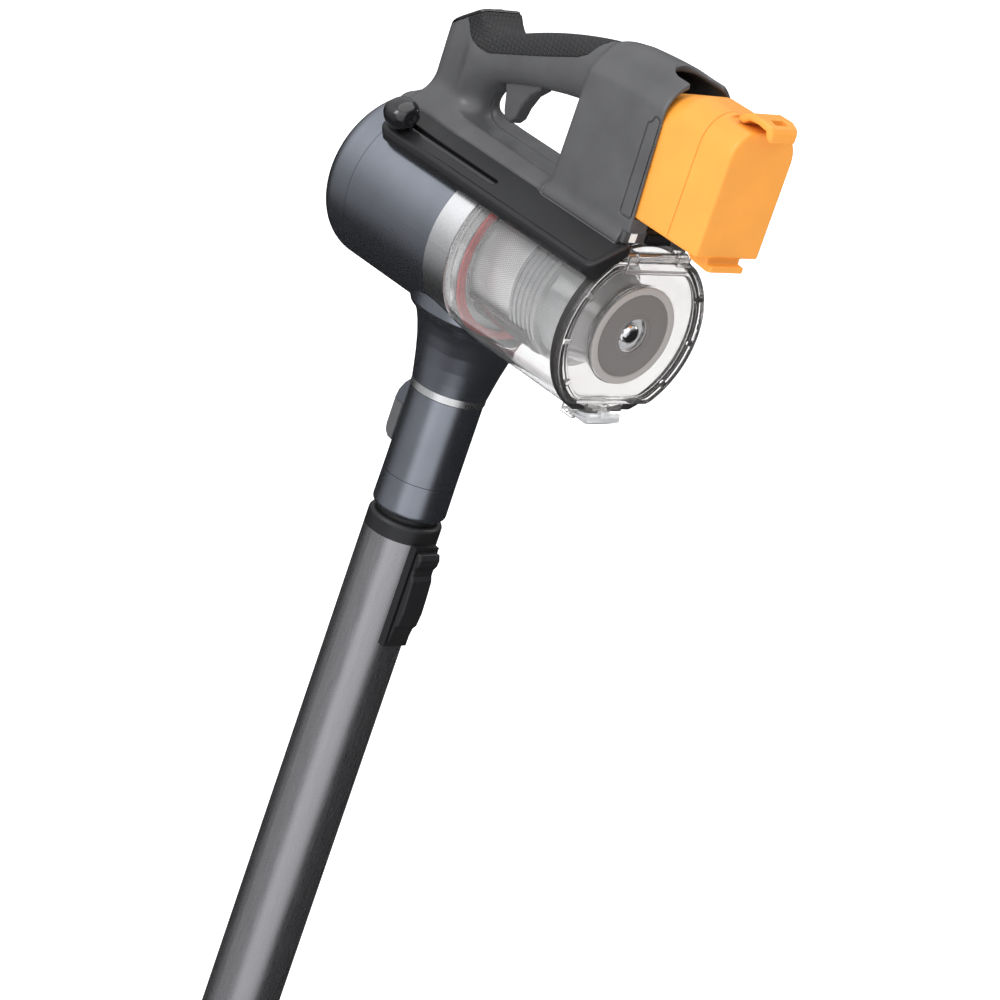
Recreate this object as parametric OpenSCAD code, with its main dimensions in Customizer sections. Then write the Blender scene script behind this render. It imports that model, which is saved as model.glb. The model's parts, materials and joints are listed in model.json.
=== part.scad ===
/* [Overall] */
// Height of the cyclone axis above the floor
axis_h = 780; // [700:5:940]
// Outer radius of the motor housing and dust bin
body_r = 52.5; // [46:0.5:63]
// Outer radius of the outer wand tube
tube_r = 22.5; // [19:0.5:27]
// Width of the floor head
head_w = 250; // [208:2:300]
// Running and seating clearance between pieces
gap = 0.3; // [0.2:0.05:0.5]

/* [Motor and exhaust] */
// Wall of the motor housing
housing_wall = 2.5; // [2:0.1:3.5]
// Front face of the exhaust cap, ahead of the wand axis
cap_front = 104; // [98:1:120]
// Seam between exhaust cap and motor housing
cap_seam = 78; // [74:1:84]
// Corner radius of the exhaust cap
cap_round = 12; // [8:1:14]
// Outer radius of the motor case
motor_r = 34; // [28:1:38]
// Radius of the rotor shaft
shaft_r = 2.5; // [2:0.1:3.5]
// Number of exhaust vents in the cap
vent_count = 28; // [12:2:32]

/* [Dust bin] */
// Wall of the clear dust bin
bin_wall = 2.2; // [1.6:0.1:3]
// Rear end of the dust bin
bin_end = 113.5; // [105:0.5:125]
// Width of the aluminium trim ring in front of the bin
trim_w = 18.6; // [12:0.2:24]
// Radius of the mesh filter
mesh_r = 35; // [30:0.5:38]
// Length of the mesh filter
mesh_l = 39; // [30:1:44]
// Thickness of the bin lid
lid_t = 3.4; // [2.6:0.1:5]
// Radius of the grey sealing disc on the lid
disc_r = 25.4; // [20:0.2:29]
// Radius of the lid hinge pin
pin_r = 1.5; // [1.2:0.1:2]

/* [Handle] */
// Half width of the handle body and battery housing
side_x = 27; // [25.5:0.5:33]
// Rise of the battery housing's roof above the body cylinder
roof_rise = 97; // [90:1:116]
// Radius of the hand grip
grip_r = 15; // [12.5:0.5:18]
// Wall of the handle shells
shell_wall = 2.4; // [1.8:0.1:3]

/* [Battery] */
// Half width of the battery pack
batt_x = 24.8; // [22:0.1:24.9]
// Length of the battery pack
batt_l = 68; // [56:1:68]
// How far the pack stands out of its bay
batt_out = 50; // [0:1:50]

/* [Wand] */
// Outer radius of the inner wand tube
inner_r = 17.4; // [15:0.2:18]
// Wall of both wand tubes
tube_wall = 1.3; // [1:0.1:2]
// Stroke of the telescopic wand
stroke = 220; // [160:5:240]

/* [Floor head] */
// Radius of the brush roller
roller_r = 21.5; // [18:0.5:24]
// Radius of the rear wheels
wheel_r = 9; // [7.5:0.5:11]
// Wall of the floor head's shell
head_wall = 2.5; // [2:0.1:3]
// Radius of the drive pulley on the head motor
pulley_r = 6; // [5:0.2:7.2]

/* [Hidden] */
$fn = 96;
eps = 0.01;

// Levels below the cyclone axis, along the wand
neck_bottom = -body_r - 38;
ring_bottom = neck_bottom - 4.5;
collar_seam = ring_bottom - 53.5;
collar_bottom = collar_seam - 22.5;
cap_top = collar_bottom - 3;
tube_top = cap_top - 11;
socket_r = tube_r - 3.9;

// Handle levels above the cyclone axis
saddle_z = body_r + 7.6;
roof_z = body_r + roof_rise;
bay_front = 46.5;
saddle_y0 = -76;
bay_rear = 115.5;
bay_wall = side_x - batt_x - gap;
floor_z = body_r + 14;
batt_z0 = floor_z + bay_wall + gap;
batt_top = roof_z - 3.6;
batt_y1 = bay_rear + batt_out + 2.5;
batt_y0 = batt_y1 - batt_l;
batt_seam = batt_y1 - 25;

// Lever rail: a ledge on the upper right flank of the body cylinder
rail_face = body_r + 7.8;
rail_x = side_x + 12;
rail_a = acos(rail_x / rail_face);
rail_tilt = 62;
rail_z = rail_face * sin(rail_a);
rail_y0 = -76;
rail_y1 = 113;
lever_y = -64;
lever_travel = 74;

// Dust bin interior
bin_y0 = trim_w - 2.6;
ring_y = bin_y0 + 4;
mesh_y = bin_y0 + 2;
collar_y = mesh_y + mesh_l;
cone_y = collar_y + 24;
hinge_y = bin_end + 4.5;
hinge_z = body_r - 6;
lid_y = bin_end + 3.8;

// Floor head, measured from the floor
pitch_z = 30;
swivel_z = 66;
socket_z0 = 118;
socket_z1 = 168;
roller_y = -62;
roller_z = roller_r + 0.5;
motor_y = -20;
motor_z = 33;
wheel_y = 12;
wheel_x = head_w / 2 - 22;
head_motor_r = 13;
roller_pulley_r = 2 * pulley_r;

function arc(cx, cy, r, a0, a1, n = 8) =
    [for (i = [0:n]) [cx + r * cos(a0 + (a1 - a0) * i / n), cy + r * sin(a0 + (a1 - a0) * i / n)]];

module at_axis() { translate([0, 0, axis_h]) children(); }
module y_cyl(r, y0, y1) { translate([0, y0, 0]) rotate([-90, 0, 0]) cylinder(r = r, h = y1 - y0); }
module y_tube(ro, ri, y0, y1) {
    difference() {
        y_cyl(ro, y0, y1);
        y_cyl(ri, y0 - 1, y1 + 1);
    }
}
module y_lathe(points) { rotate([-90, 0, 0]) rotate_extrude() polygon(points); }
module z_tube(ro, ri, z0, z1) {
    difference() {
        translate([0, 0, z0]) cylinder(r = ro, h = z1 - z0);
        translate([0, 0, z0 - 1]) cylinder(r = ri, h = z1 - z0 + 2);
    }
}
module x_cyl(r, x0, x1, y = 0, z = 0) { translate([x0, y, z]) rotate([0, 90, 0]) cylinder(r = r, h = x1 - x0); }
module along_y(y0, y1) { translate([0, y1, 0]) rotate([90, 0, 0]) linear_extrude(y1 - y0) children(); }
module along_x(x0, x1) { translate([x0, 0, 0]) rotate([90, 0, 90]) linear_extrude(x1 - x0) children(); }
module box(x0, x1, y0, y1, z0, z1) { translate([x0, y0, z0]) cube([x1 - x0, y1 - y0, z1 - z0]); }
// Local frame of the lever rail: X points out of its face, Z up along the face
module at_rail() { translate([rail_x, 0, rail_z]) rotate([0, -rail_tilt, 0]) children(); }

// ---- Wand ----
module outer_tube() { color("dimgray") z_tube(tube_r, tube_r - tube_wall, socket_z0 + 12, axis_h + tube_top); }

lock_z0 = tube_top - 64;
lock_z1 = tube_top + 1;
lock_slot = 5;
module tube_collar() {
    color("black") at_axis() difference() {
        union() {
            rotate_extrude() polygon(concat(
                [[inner_r + gap, tube_top - 60], [tube_r - tube_wall, tube_top - 60],
                 [tube_r - tube_wall, tube_top], [tube_r, tube_top]],
                arc(tube_r - 3, cap_top - 3, 3, 0, 90, 6), [[inner_r + gap, cap_top]]));
            // saddle of the length lock, on the rear of the tube
            difference() {
                box(-9, 9, tube_r - 6, tube_r + 3.1, lock_z0, lock_z1);
                translate([0, 0, lock_z0 - 1]) cylinder(r = tube_r, h = tube_top - lock_z0 + 1);
                translate([0, 0, tube_top - 1]) cylinder(r = tube_r - 3, h = 20);
            }
        }
        // seat of the wand fitting's shoulder
        translate([0, 0, cap_top - 7]) cylinder(r = socket_r, h = 20);
        // window for the lock button's tongue
        box(-lock_slot, lock_slot, tube_r + 1.5, tube_r + 20, lock_z0 + 4, lock_z1 - 4);
    }
}
module length_lock() {
    color("black") at_axis() along_x(-7.5, 7.5)
        polygon([[tube_r + 3.4, lock_z1 - 12], [tube_r + 3.4, lock_z0 + 14], [tube_r + 5, lock_z0 + 12],
            [tube_r + 8, lock_z0 + 16], [tube_r + 8, lock_z1 - 30], [tube_r + 5.6, lock_z1 - 26],
            [tube_r + 5.6, lock_z1 - 20], [tube_r + 8, lock_z1 - 16], [tube_r + 7, lock_z1 - 11],
            [tube_r + 5, lock_z1 - 9]]);
    color("black") at_axis() box(-lock_slot + 1, lock_slot - 1, tube_r + 2, tube_r + 3.5, lock_z0 + 16, lock_z1 - 16);
}
module lower_socket() {
    color("black") difference() {
        translate([0, 0, socket_z0]) cylinder(r = tube_r + 2.6, h = socket_z1 - socket_z0);
        translate([0, 0, socket_z0 + 12]) cylinder(r = tube_r, h = 80);
        translate([0, 0, socket_z0 - 1]) cylinder(r = socket_r, h = 80);
        box(-6.3, 6.3, tube_r - 4, tube_r + 10, socket_z0 + 3, socket_z0 + 11.5);
    }
    // shroud round the foot release
    color("black") difference() {
        box(-9, 9, tube_r, tube_r + 6, socket_z0, socket_z0 + 34);
        translate([0, 0, socket_z0 - 1]) cylinder(r = tube_r + 2.6, h = 80);
        box(-6.3, 6.3, tube_r - 4, tube_r + 10, socket_z0 + 3, socket_z0 + 30);
    }
}
module head_release() {
    color("dimgray") difference() {
        box(-6, 6, tube_r + 2.9, tube_r + 8, socket_z0 + 3.3, socket_z0 + 29.7);
        translate([0, 0, socket_z0 - 1]) cylinder(r = tube_r + 2.6 + 1.8, h = 80);
    }
}
inner_z0 = tube_top - stroke - 62;
inner_z1 = cap_top + 10;
module inner_tube() { color("silver") at_axis() z_tube(inner_r, inner_r - tube_wall, inner_z0, inner_z1); }
module wand_fitting() {
    color("black") at_axis() difference() {
        union() {
            translate([0, 0, cap_top - 6.5]) cylinder(r = socket_r - gap, h = collar_bottom + 70 - cap_top + 6.5);
            translate([0, 0, collar_bottom + 69]) cylinder(r1 = socket_r - gap, r2 = socket_r - 2.3, h = 4);
        }
        translate([0, 0, -400]) cylinder(r = inner_r - tube_wall, h = 500);
        translate([0, 0, cap_top - 20]) cylinder(r = inner_r, h = inner_z1 - cap_top + 20);
    }
}

// ---- Motor and exhaust ----
module motor_housing() {
    color("slategray") at_axis() {
        difference() {
            y_tube(body_r, body_r - housing_wall, -cap_seam, -2.9);
            // vent rebate that takes the exhaust cap's spigot
            y_cyl(body_r - housing_wall + 1, -cap_seam - 1, -cap_seam + 5);
        }
        // carrier plate of the motor, with the air intake in its middle
        y_tube(body_r - housing_wall + eps, 14, -12, -9);
        // boss that centres the motor case
        y_tube(motor_r + 3, motor_r, -22, -12 + eps);
    }
}
module motor_case() {
    color("dimgray") at_axis() difference() {
        union() {
            difference() {
                union() {
                    y_cyl(motor_r, -66, -12);
                    y_cyl(9, -71, -65.9);
                }
                y_cyl(motor_r - 2.2, -31, -20);
                y_cyl(motor_r - 6, -60, -35);
                y_cyl(16, -21, -11);
                for (a = [0:45:315]) rotate([0, a, 0]) y_cyl_at(4, motor_r - 12, -67, -58);
            }
            // stator ring
            y_tube(motor_r - 5.9, 15, -56, -38);
        }
        // bushings of the shaft
        y_cyl(shaft_r + 0.1, -70, -20);
    }
}
module y_cyl_at(r, x, y0, y1) { translate([x, 0, 0]) y_cyl(r, y0, y1); }
module rotor_shaft() {
    color("silver") at_axis() {
        y_cyl(shaft_r, -69, -14);
        y_tube(14.2, shaft_r - eps, -57, -37);
    }
}
impeller_r = motor_r - 3.4;
module impeller() {
    color("gainsboro") at_axis() {
        difference() {
            union() {
                y_cyl(impeller_r, -29, -27);
                y_lathe([[0, -27.1], [11, -27.1], [6, -21], [4.6, -17], [0, -17]]);
                for (i = [0:8]) rotate([0, i * 40, 0]) translate([8, 0, 0]) rotate([0, 28, 0])
                    box(0, impeller_r - 11, -27.1, -22.5, -0.7, 0.7);
            }
            y_cyl(shaft_r + 0.05, -30, -10);
        }
    }
}
cap_y0 = -cap_front;
module exhaust_cap() {
    ro = body_r;
    t = housing_wall;
    color("slategray") at_axis() difference() {
        y_lathe(concat(
            [[0, cap_y0]], arc(ro - cap_round, cap_y0 + cap_round, cap_round, -90, 0, 10),
            [[ro, -cap_seam - gap], [ro - t + 0.7, -cap_seam - gap], [ro - t + 0.7, -cap_seam + 4.5],
             [ro - t - 1.3, -cap_seam + 4.5], [ro - t - 1.3, cap_y0 + cap_round]],
            arc(ro - cap_round - 1.3, cap_y0 + cap_round, cap_round - t, 0, -90, 8), [[0, cap_y0 + t]]));
        // ring of exhaust vents round the flat front
        for (i = [0:vent_count - 1]) rotate([0, i * 360 / vent_count, 0])
            box(body_r * 0.5, body_r * 0.72, cap_y0 - 1, cap_y0 + t + 1, -1.3, 1.3);
        // spindle of the filter
        y_cyl(4.3, cap_y0 + 1.2, cap_y0 + t + 1);
    }
}
module exhaust_filter() {
    r1 = body_r - housing_wall - 3;
    color("white") at_axis() {
        difference() {
            y_cyl(r1 - 5, cap_y0 + 6, -cap_seam - 3);
            y_cyl(r1 - 18, cap_y0 + 8, -cap_seam - 2);
            // pleats
            for (i = [0:35]) rotate([0, i * 10, 0]) translate([r1 - 5, 0, 0]) rotate([0, 45, 0])
                box(-1.6, 1.6, cap_y0 + 8, -cap_seam - 5, -1.6, 1.6);
        }
        y_cyl(4, cap_y0 + 1.5, cap_y0 + 6.1);
    }
}
module control_board() {
    color("darkgreen") at_axis() box(-9.6, 9.6, -66, -46, board_z, board_z + 1.6);
    color("dimgray") at_axis() for (y = [-61, -52]) box(-5, 5, y - 3, y + 3, board_z + 1.5, board_z + 4);
}

// ---- Inlet neck and collar ----
module inlet_neck() {
    z = -body_r;
    color("slategray") at_axis() difference() {
        rotate_extrude() polygon([[18, z + 20], [40, z + 20], [40, z + 10], [38.5, z + 7], [36, z + 5.5],
            [33.3, z + 1.5], [30.8, z - 4.5], [28.3, z - 12.5], [26, z - 22.5], [24.3, z - 31.5],
            [23.2, neck_bottom], [18, neck_bottom]]);
        y_cyl(body_r + gap, -100, 140);
    }
}
module neck_trim_ring() {
    color("silver") at_axis() z_tube(22.9, 18, ring_bottom, neck_bottom);
}
release_z0 = collar_seam + 10.5;
release_z1 = collar_seam + 35;
module inlet_collar() {
    r = tube_r - 0.2;
    color("slategray") at_axis() difference() {
        union() {
            translate([0, 0, collar_seam]) cylinder(r = r, h = ring_bottom - collar_seam);
            // brow above the release button
            along_x(-9.5, 9.5) polygon([[-r + 3, release_z1], [-r - 8, release_z1], [-r - 7, release_z1 + 6],
                [-r - 4, release_z1 + 12], [-r, ring_bottom - 2], [-r + 3, ring_bottom - 2]]);
        }
        translate([0, 0, collar_seam - 1]) cylinder(r = socket_r, h = 100);
        box(-6, 6, -r - 5, -r + 8, release_z0 + 3, release_z1 - 3);
        box(-9.6, 9.6, -r - 1, -r + 1.4, release_z0 + 0.5, release_z1);
    }
}
module wand_release() {
    r = tube_r - 0.2;
    color("slategray") at_axis() {
        along_x(-9.3, 9.3) polygon([[-r - 0.4, release_z0 + 1], [-r - 4, release_z0 + 1.5],
            [-r - 7, release_z0 + 4], [-r - 8, release_z0 + 8], [-r - 8, release_z1 - 0.4],
            [-r - 0.4, release_z1 - 0.4]]);
        box(-5.7, 5.7, -r - 1, -r + 2.2, release_z0 + 3.3, release_z1 - 3.3);
    }
}
module collar_end_ring() {
    r = tube_r - 0.2;
    color("slategray") at_axis() rotate_extrude() polygon(concat([[socket_r, collar_seam], [r, collar_seam]],
        [[r + 0.2, collar_bottom + 5]], arc(r - 3, collar_bottom + 3.2, 3.2, 0, -90, 6), [[socket_r, collar_bottom]]));
}

// ---- Bin trim, cyclone and filters ----
module bin_trim_ring() {
    color("silver") at_axis() y_tube(body_r, body_r - 4.6, -2.9, bin_y0 - gap);
}
module pre_filter() {
    color("lightgray") at_axis() y_tube(mesh_r - 3, 12, -2, mesh_y - 2);
}
module mesh_filter() {
    color("silver") at_axis() {
        y_tube(mesh_r, mesh_r - 1, mesh_y, collar_y);
        // flange that hangs the cyclone in the trim ring
        y_tube(body_r - 4.6, mesh_r - 3, bin_y0 - 3, mesh_y + eps);
    }
}
module cyclone_collar() {
    r = mesh_r + 1.2;
    color("gainsboro") at_axis() difference() {
        union() {
            y_cyl(r, collar_y, cone_y);
            for (i = [0:4]) y_cyl(r + 1.2, collar_y + 1.3 + i * 4, collar_y + 2.9 + i * 4);
            y_cyl(r + 1.8, cone_y - 2, cone_y);
        }
        y_cyl(r - 2.4, collar_y - 1, cone_y + 1);
    }
}
module cyclone_cones() {
    y1 = bin_end - 3;
    r = mesh_r - 1.2;
    color("gainsboro") at_axis() difference() {
        union() {
            // outer cone of the second stage
            y_lathe([[r, collar_y + 4], [r, cone_y - 1], [24, y1], [22, y1], [r - 1.4, cone_y - 1], [r - 1.4, collar_y + 4]]);
            y_cyl(r, cone_y - 10, cone_y - 8);
            // ring of small cyclones round the outlet tube
            for (i = [0:7]) rotate([0, i * 45, 0]) translate([20.6, 0, 0])
                y_lathe([[0, collar_y], [6.2, collar_y], [6.2, cone_y - 8], [2.6, cone_y + 10], [0, cone_y + 10]]);
            y_cyl(9, collar_y, y1 - 4);
        }
        for (i = [0:7]) rotate([0, i * 45, 0]) translate([20.6, 0, 0])
            y_lathe([[0, collar_y - 1], [5, collar_y - 1], [5, cone_y - 8], [1.4, cone_y + 11], [0, cone_y + 11]]);
        y_cyl(7.6, collar_y - 1, y1);
    }
}

// ---- Lever rail and compactor ----
module rail_outline(inset) {
    // ledge from the body's side to its outer rim
    edge = [cos(rail_a - 12.7), sin(rail_a - 12.7)] * (body_r + gap);
    polygon([[side_x, rail_z - 12], [side_x, rail_z + 6.2 - inset], [rail_x + 10.6 - inset, rail_z - 5.8 - inset],
        [rail_x + 10.8 - inset, rail_z - 9.5], [rail_x + 9.2 - inset, edge[1] + 1.5], edge + [1, 0],
        edge - [10, 0]]);
}
module lever_rail() {
    color("black") at_axis() difference() {
        along_y(rail_y0, rail_y1) rail_outline(0);
        y_cyl(body_r + gap, rail_y0 - 1, rail_y1 + 1);
        at_rail() {
            // channel of the carriage and slot of the knob's stem
            box(-5.2, -1.6, rail_y0 + 3, rail_y1 - 4, -5, 5);
            box(-3, 4, lever_y - 7, lever_y + lever_travel + 6, -2.6, 2.6);
            // slot of the arm that reaches into the bin
            box(-16, -1, ring_y - 6, ring_y + lever_travel + 8, -2.4, 2.4);
        }
    }
}
module compactor_lever() {
    color("black") at_axis() at_rail() {
        // knob
        intersection() {
            translate([5.5, lever_y, 0]) sphere(r = 9.8, $fn = 48);
            box(0.8, 30, lever_y - 20, lever_y + 20, -20, 20);
        }
        box(-2.6, 1, lever_y - 4, lever_y + 4, -2.3, 2.3);
        // carriage and push rod
        box(-4.9, -2, lever_y - 8, ring_y + 5, -4.6, 4.6);
        box(-arm_l, -2, ring_y + 1, ring_y + 4, -2, 2);
    }
}
arm_l = 14.5;
ring_ro = body_r - bin_wall - 0.9;
ring_ri = mesh_r + 4.6;
module compactor_ring() {
    color("white") at_axis() difference() {
        y_tube(ring_ro, ring_ri, ring_y, ring_y + 5);
        at_rail() box(-arm_l, 0, ring_y + 1, ring_y + 6, -2, 2);
    }
}
module compactor_seal() {
    color("firebrick") at_axis() y_tube(ring_ro + 0.3, ring_ri + 1, ring_y + 5, ring_y + 7.6);
}

// ---- Dust bin and lid ----
module dust_bin() {
    ri = body_r - bin_wall;
    color("lightgray") at_axis() difference() {
        union() {
            y_tube(body_r, ri, bin_y0, bin_end);
            // web across the top of the rear end, with the hinge lugs behind it
            intersection() {
                y_cyl(body_r, bin_end - 3, bin_end);
                box(-body_r, body_r, 0, bin_end, hinge_z - 3, body_r);
            }
            for (s = [-1, 1]) intersection() {
                box(s * 20 - 4, s * 20 + 4, bin_end - eps, hinge_y + 3, hinge_z - 2, hinge_z + 3);
                union() {
                    x_cyl(3, -30, 30, hinge_y, hinge_z);
                    box(-30, 30, bin_end - 1, hinge_y, 0, body_r + 5);
                }
            }
            // latch bracket below
            for (s = [-1, 1]) box(s * 13 - 1.5, s * 13 + 1.5, bin_end - 12, bin_end - 2, -body_r - 4, -body_r + 4);
        }
        y_cyl(ri, bin_y0 - 1, bin_end - 3);
        // mouth that the lid closes, below the web
        intersection() {
            y_cyl(ri, bin_end - 4, bin_end + 1);
            box(-body_r, body_r, 0, bin_end + 1, -body_r, hinge_z - 3);
        }
        x_cyl(pin_r + 0.1, -40, 40, hinge_y, hinge_z);
        for (s = [-1, 1]) x_cyl(1.3, s * 13 - 3, s * 13 + 3, bin_end - 7, -body_r - 1.5);
        // slot of the compactor's arm, open at the bin's mouth
        at_rail() box(-20, -4, bin_y0 - 1, ring_y + lever_travel + 6, -2.6, 2.6);
        // dust inlet above the neck
        translate([0, bin_y0 + 12, -body_r - 5]) cylinder(r = 9, h = 12);
    }
}
module lid_hinge_pin() { color("silver") at_axis() x_cyl(pin_r, -25, 25, hinge_y, hinge_z); }
lid_r = body_r + 0.4;
lid_flat = body_r - 9.5;
module lid_outline(r, flat) {
    intersection() {
        circle(r = r);
        translate([-r, -flat]) square([2 * r, flat + hinge_z - 3 - gap]);
    }
}
module bin_lid() {
    color("lightgray") at_axis() difference() {
        union() {
            along_y(lid_y, lid_y + lid_t) lid_outline(lid_r, lid_flat);
            // boss that carries the sealing disc
            y_cyl(disc_r + 4.4, lid_y, lid_y + lid_t + 1.6);
            // hinge knuckle between the bin's lugs
            x_cyl(3, -15.6, 15.6, hinge_y, hinge_z);
            box(-15.6, 15.6, hinge_y - 0.7, hinge_y + 2.6, hinge_z - 5, hinge_z);
            // ring clips
            for (a = [28, -5, -38, 152, 185, 218]) rotate([0, -a, 0])
                box(lid_r - 6, lid_r - 1, lid_y + lid_t - eps, lid_y + lid_t + 1, -1.5, 1.5);
            // latch lip
            box(-12, 12, lid_y, lid_y + lid_t, -body_r + 4.5, -lid_flat + 1);
        }
        x_cyl(pin_r + 0.1, -40, 40, hinge_y, hinge_z);
        y_cyl(10, lid_y - 1, lid_y + 20);
        y_cyl(disc_r, lid_y + lid_t + 0.6, lid_y + 20);
    }
    // cup behind the knob
    color("dimgray") at_axis() y_tube(10.1, 8.4, lid_y - 4, lid_y + lid_t);
    color("dimgray") at_axis() y_cyl(8.5, lid_y - 4, lid_y - 2.5);
}
module lid_gasket() {
    color("dimgray") at_axis() intersection() {
        y_tube(lid_r, body_r - bin_wall - 2, bin_end + gap, lid_y);
        box(-100, 100, 0, 200, -body_r + 4.5, hinge_z - 3 - gap);
    }
}
module lid_disc() { color("gray") at_axis() y_tube(disc_r, 10.1, lid_y + lid_t + 0.6, lid_y + lid_t + 2.4); }
module lid_knob() {
    color("silver") at_axis() y_lathe(concat([[0, lid_y - 2.5], [6.4, lid_y - 2.5], [6.4, lid_y + 0.5]],
        arc(2.4, lid_y + 0.5, 4, 0, 90, 6), [[0, lid_y + 4.5]]));
}
module lid_latch() {
    color("lightgray") at_axis() difference() {
        along_x(-11, 11) polygon([[bin_end - 14, -body_r - 2.2], [bin_end - 11, -body_r - 4.6], [bin_end + 4, -body_r - 4.6],
            [lid_y + lid_t + 2, -body_r - 1], [lid_y + lid_t + 1, -body_r + 3.9], [lid_y, -body_r + 3.9],
            [bin_end + 1, -body_r - 0.4], [bin_end - 9, -body_r - 0.4], [bin_end - 13, -body_r - 2]]);
        x_cyl(1.5, -40, 40, bin_end - 7, -body_r - 1.5);
    }
    color("silver") at_axis() x_cyl(1.2, -14.4, 14.4, bin_end - 7, -body_r - 1.5);
}
release_x0 = -8;
release_x1 = 10;
module bin_release() {
    color("black") at_axis() along_x(release_x0, release_x1) polygon([[bay_rear - 0.7, body_r + 1.2],
        [bay_rear + 2.5, body_r + 1.2], [bay_rear + 2.5, body_r + 3.4], [bay_rear + 1.4, body_r + 6.7],
        [bay_rear - 0.7, body_r + 6.7]]);
}

// ---- Handle ----
pod_y = -69;
pod_z = body_r + 60;
pod_tilt = 36;
module pod_disc(s, h0, h1) {
    translate([0, pod_y, pod_z]) rotate([pod_tilt, 0, 0]) for (d = [-7.5, 7.5]) translate([0, d, h0])
        cylinder(r = grip_r + 0.2 - s, h = h1 - h0, $fn = 32);
}
module grip_ball(s, r, y, z) { translate([0, y, z]) sphere(r = r - s, $fn = 28); }
module handle_solid(s) {
    // post under the control pod
    hull() {
        pod_disc(s, -6, -s - 0.05);
        for (y = [-72, -45]) translate([0, y, body_r + 12]) cylinder(r = 13.5 - s, h = 10, $fn = 32);
    }
    // flared foot of the post
    hull() {
        for (y = [-72, -45]) translate([0, y, body_r + 9]) cylinder(r = 14.2 - s, h = 4, $fn = 32);
        box(-side_x + 5 + s, side_x - 5 - s, -95 + s, -22, body_r - 12, body_r + 2 - s);
    }
    // grip
    hull() {
        grip_ball(s, grip_r, -48, body_r + 45);
        grip_ball(s, grip_r, -8, body_r + 57);
        grip_ball(s, grip_r, -8, body_r + 60);
    }
    hull() {
        grip_ball(s, grip_r, -8, body_r + 57);
        grip_ball(s, grip_r, -8, body_r + 60);
        grip_ball(s, grip_r + 1, 40 - s, body_r + 66);
        grip_ball(s, grip_r + 1, 40 - s, body_r + 71);
    }
}
module saddle_outline(s) {
    polygon([[-side_x + s, body_r - 20], [-side_x + s, body_r + 2], [-side_x + 9 + s, saddle_z - s],
        [side_x - 9 - s, saddle_z - s], [side_x - s, body_r + 2], [side_x - s, body_r - 20]]);
}
pad_angle = 20;
pad_t = 2;
// the part of the grip that carries the rubber pad
module pad_zone() {
    intersection() {
        box(-30, 30, -52, bay_front - 2, body_r + 20, body_r + 120);
        translate([0, -20, body_r + 56]) rotate([pad_angle, 0, 0]) box(-40, 40, -60, 120, 0, 80);
    }
}
trigger_y = -26;
trigger_z = body_r + 43;
board_z = body_r + 18;
module handle_body() {
    difference() {
        union() {
            handle_solid(0);
            along_y(saddle_y0, bay_rear - 3) saddle_outline(0);
        }
        y_cyl(body_r + gap, -140, 140);
        difference() {
            union() {
                handle_solid(shell_wall + 2);
                along_y(saddle_y0 + 4, bay_rear - 6) saddle_outline(shell_wall);
            }
            y_cyl(body_r + gap + 2, -140, 140);
        }
        difference() {
            pad_zone();
            handle_solid(pad_t);
        }
        // battery housing stands here
        box(-60, 60, bay_front, 200, saddle_z + 1, body_r + 200);
        // trigger slot, and the holes of its pivot
        box(-5.8, 5.8, -33, 0, body_r + 14, body_r + 52);
        x_cyl(1.5, -9.8, 9.8, trigger_y, trigger_z);
        // seats of the control panel and the board
        translate([0, pod_y, pod_z]) rotate([pod_tilt, 0, 0]) box(-40, 40, -40, 40, -2.1, 20);
        pod_disc(3, -9, 6);
        box(-9.6, 9.6, -66, -46, board_z, board_z + 1.6);
    }
}
module handle_half() {
    intersection() {
        handle_body();
        box(0, 100, -200, 200, 0, 300);
    }
}
module handle_right() { color("dimgray") at_axis() handle_half(); }
module handle_left() { color("dimgray") at_axis() mirror([1, 0, 0]) handle_half(); }
module grip_pad() {
    color("black") at_axis() difference() {
        intersection() {
            handle_solid(0.05);
            pad_zone();
        }
        handle_solid(pad_t - 0.05);
        translate([0, pod_y, pod_z]) rotate([pod_tilt, 0, 0]) box(-40, 40, -40, 40, -2.3, 20);
    }
}
module control_panel() {
    color("black") at_axis() difference() {
        hull() pod_disc(0.1, -2.1, 0);
        translate([0, pod_y, pod_z]) rotate([pod_tilt, 0, 0]) for (d = [-8, 8]) translate([0, d, -5]) cylinder(r = 5.8, h = 12);
    }
}
module panel_button(d) {
    at_axis() translate([0, pod_y, pod_z]) rotate([pod_tilt, 0, 0]) translate([0, d, 0]) {
        translate([0, 0, -2]) cylinder(r = 5.5, h = 2.8);
    }
}
module power_button() { color("gray") panel_button(8); }
module suction_button() { color("gray") panel_button(-8); }
module trigger() {
    t = body_r + 14;
    color("dimgray") at_axis() difference() {
        along_x(-5.4, 5.4) polygon(concat([[-30, t + 29], [-27, t + 18]], arc(-12.5, t + 7, 5, 190, 350, 8),
            [[-3, t + 26], [-3, t + 31], [-28, t + 31]]));
        x_cyl(1.6, -6, 6, trigger_y, trigger_z);
    }
}
module trigger_pin() { color("silver") at_axis() x_cyl(1.5, -9.7, 9.7, trigger_y, trigger_z); }

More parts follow.
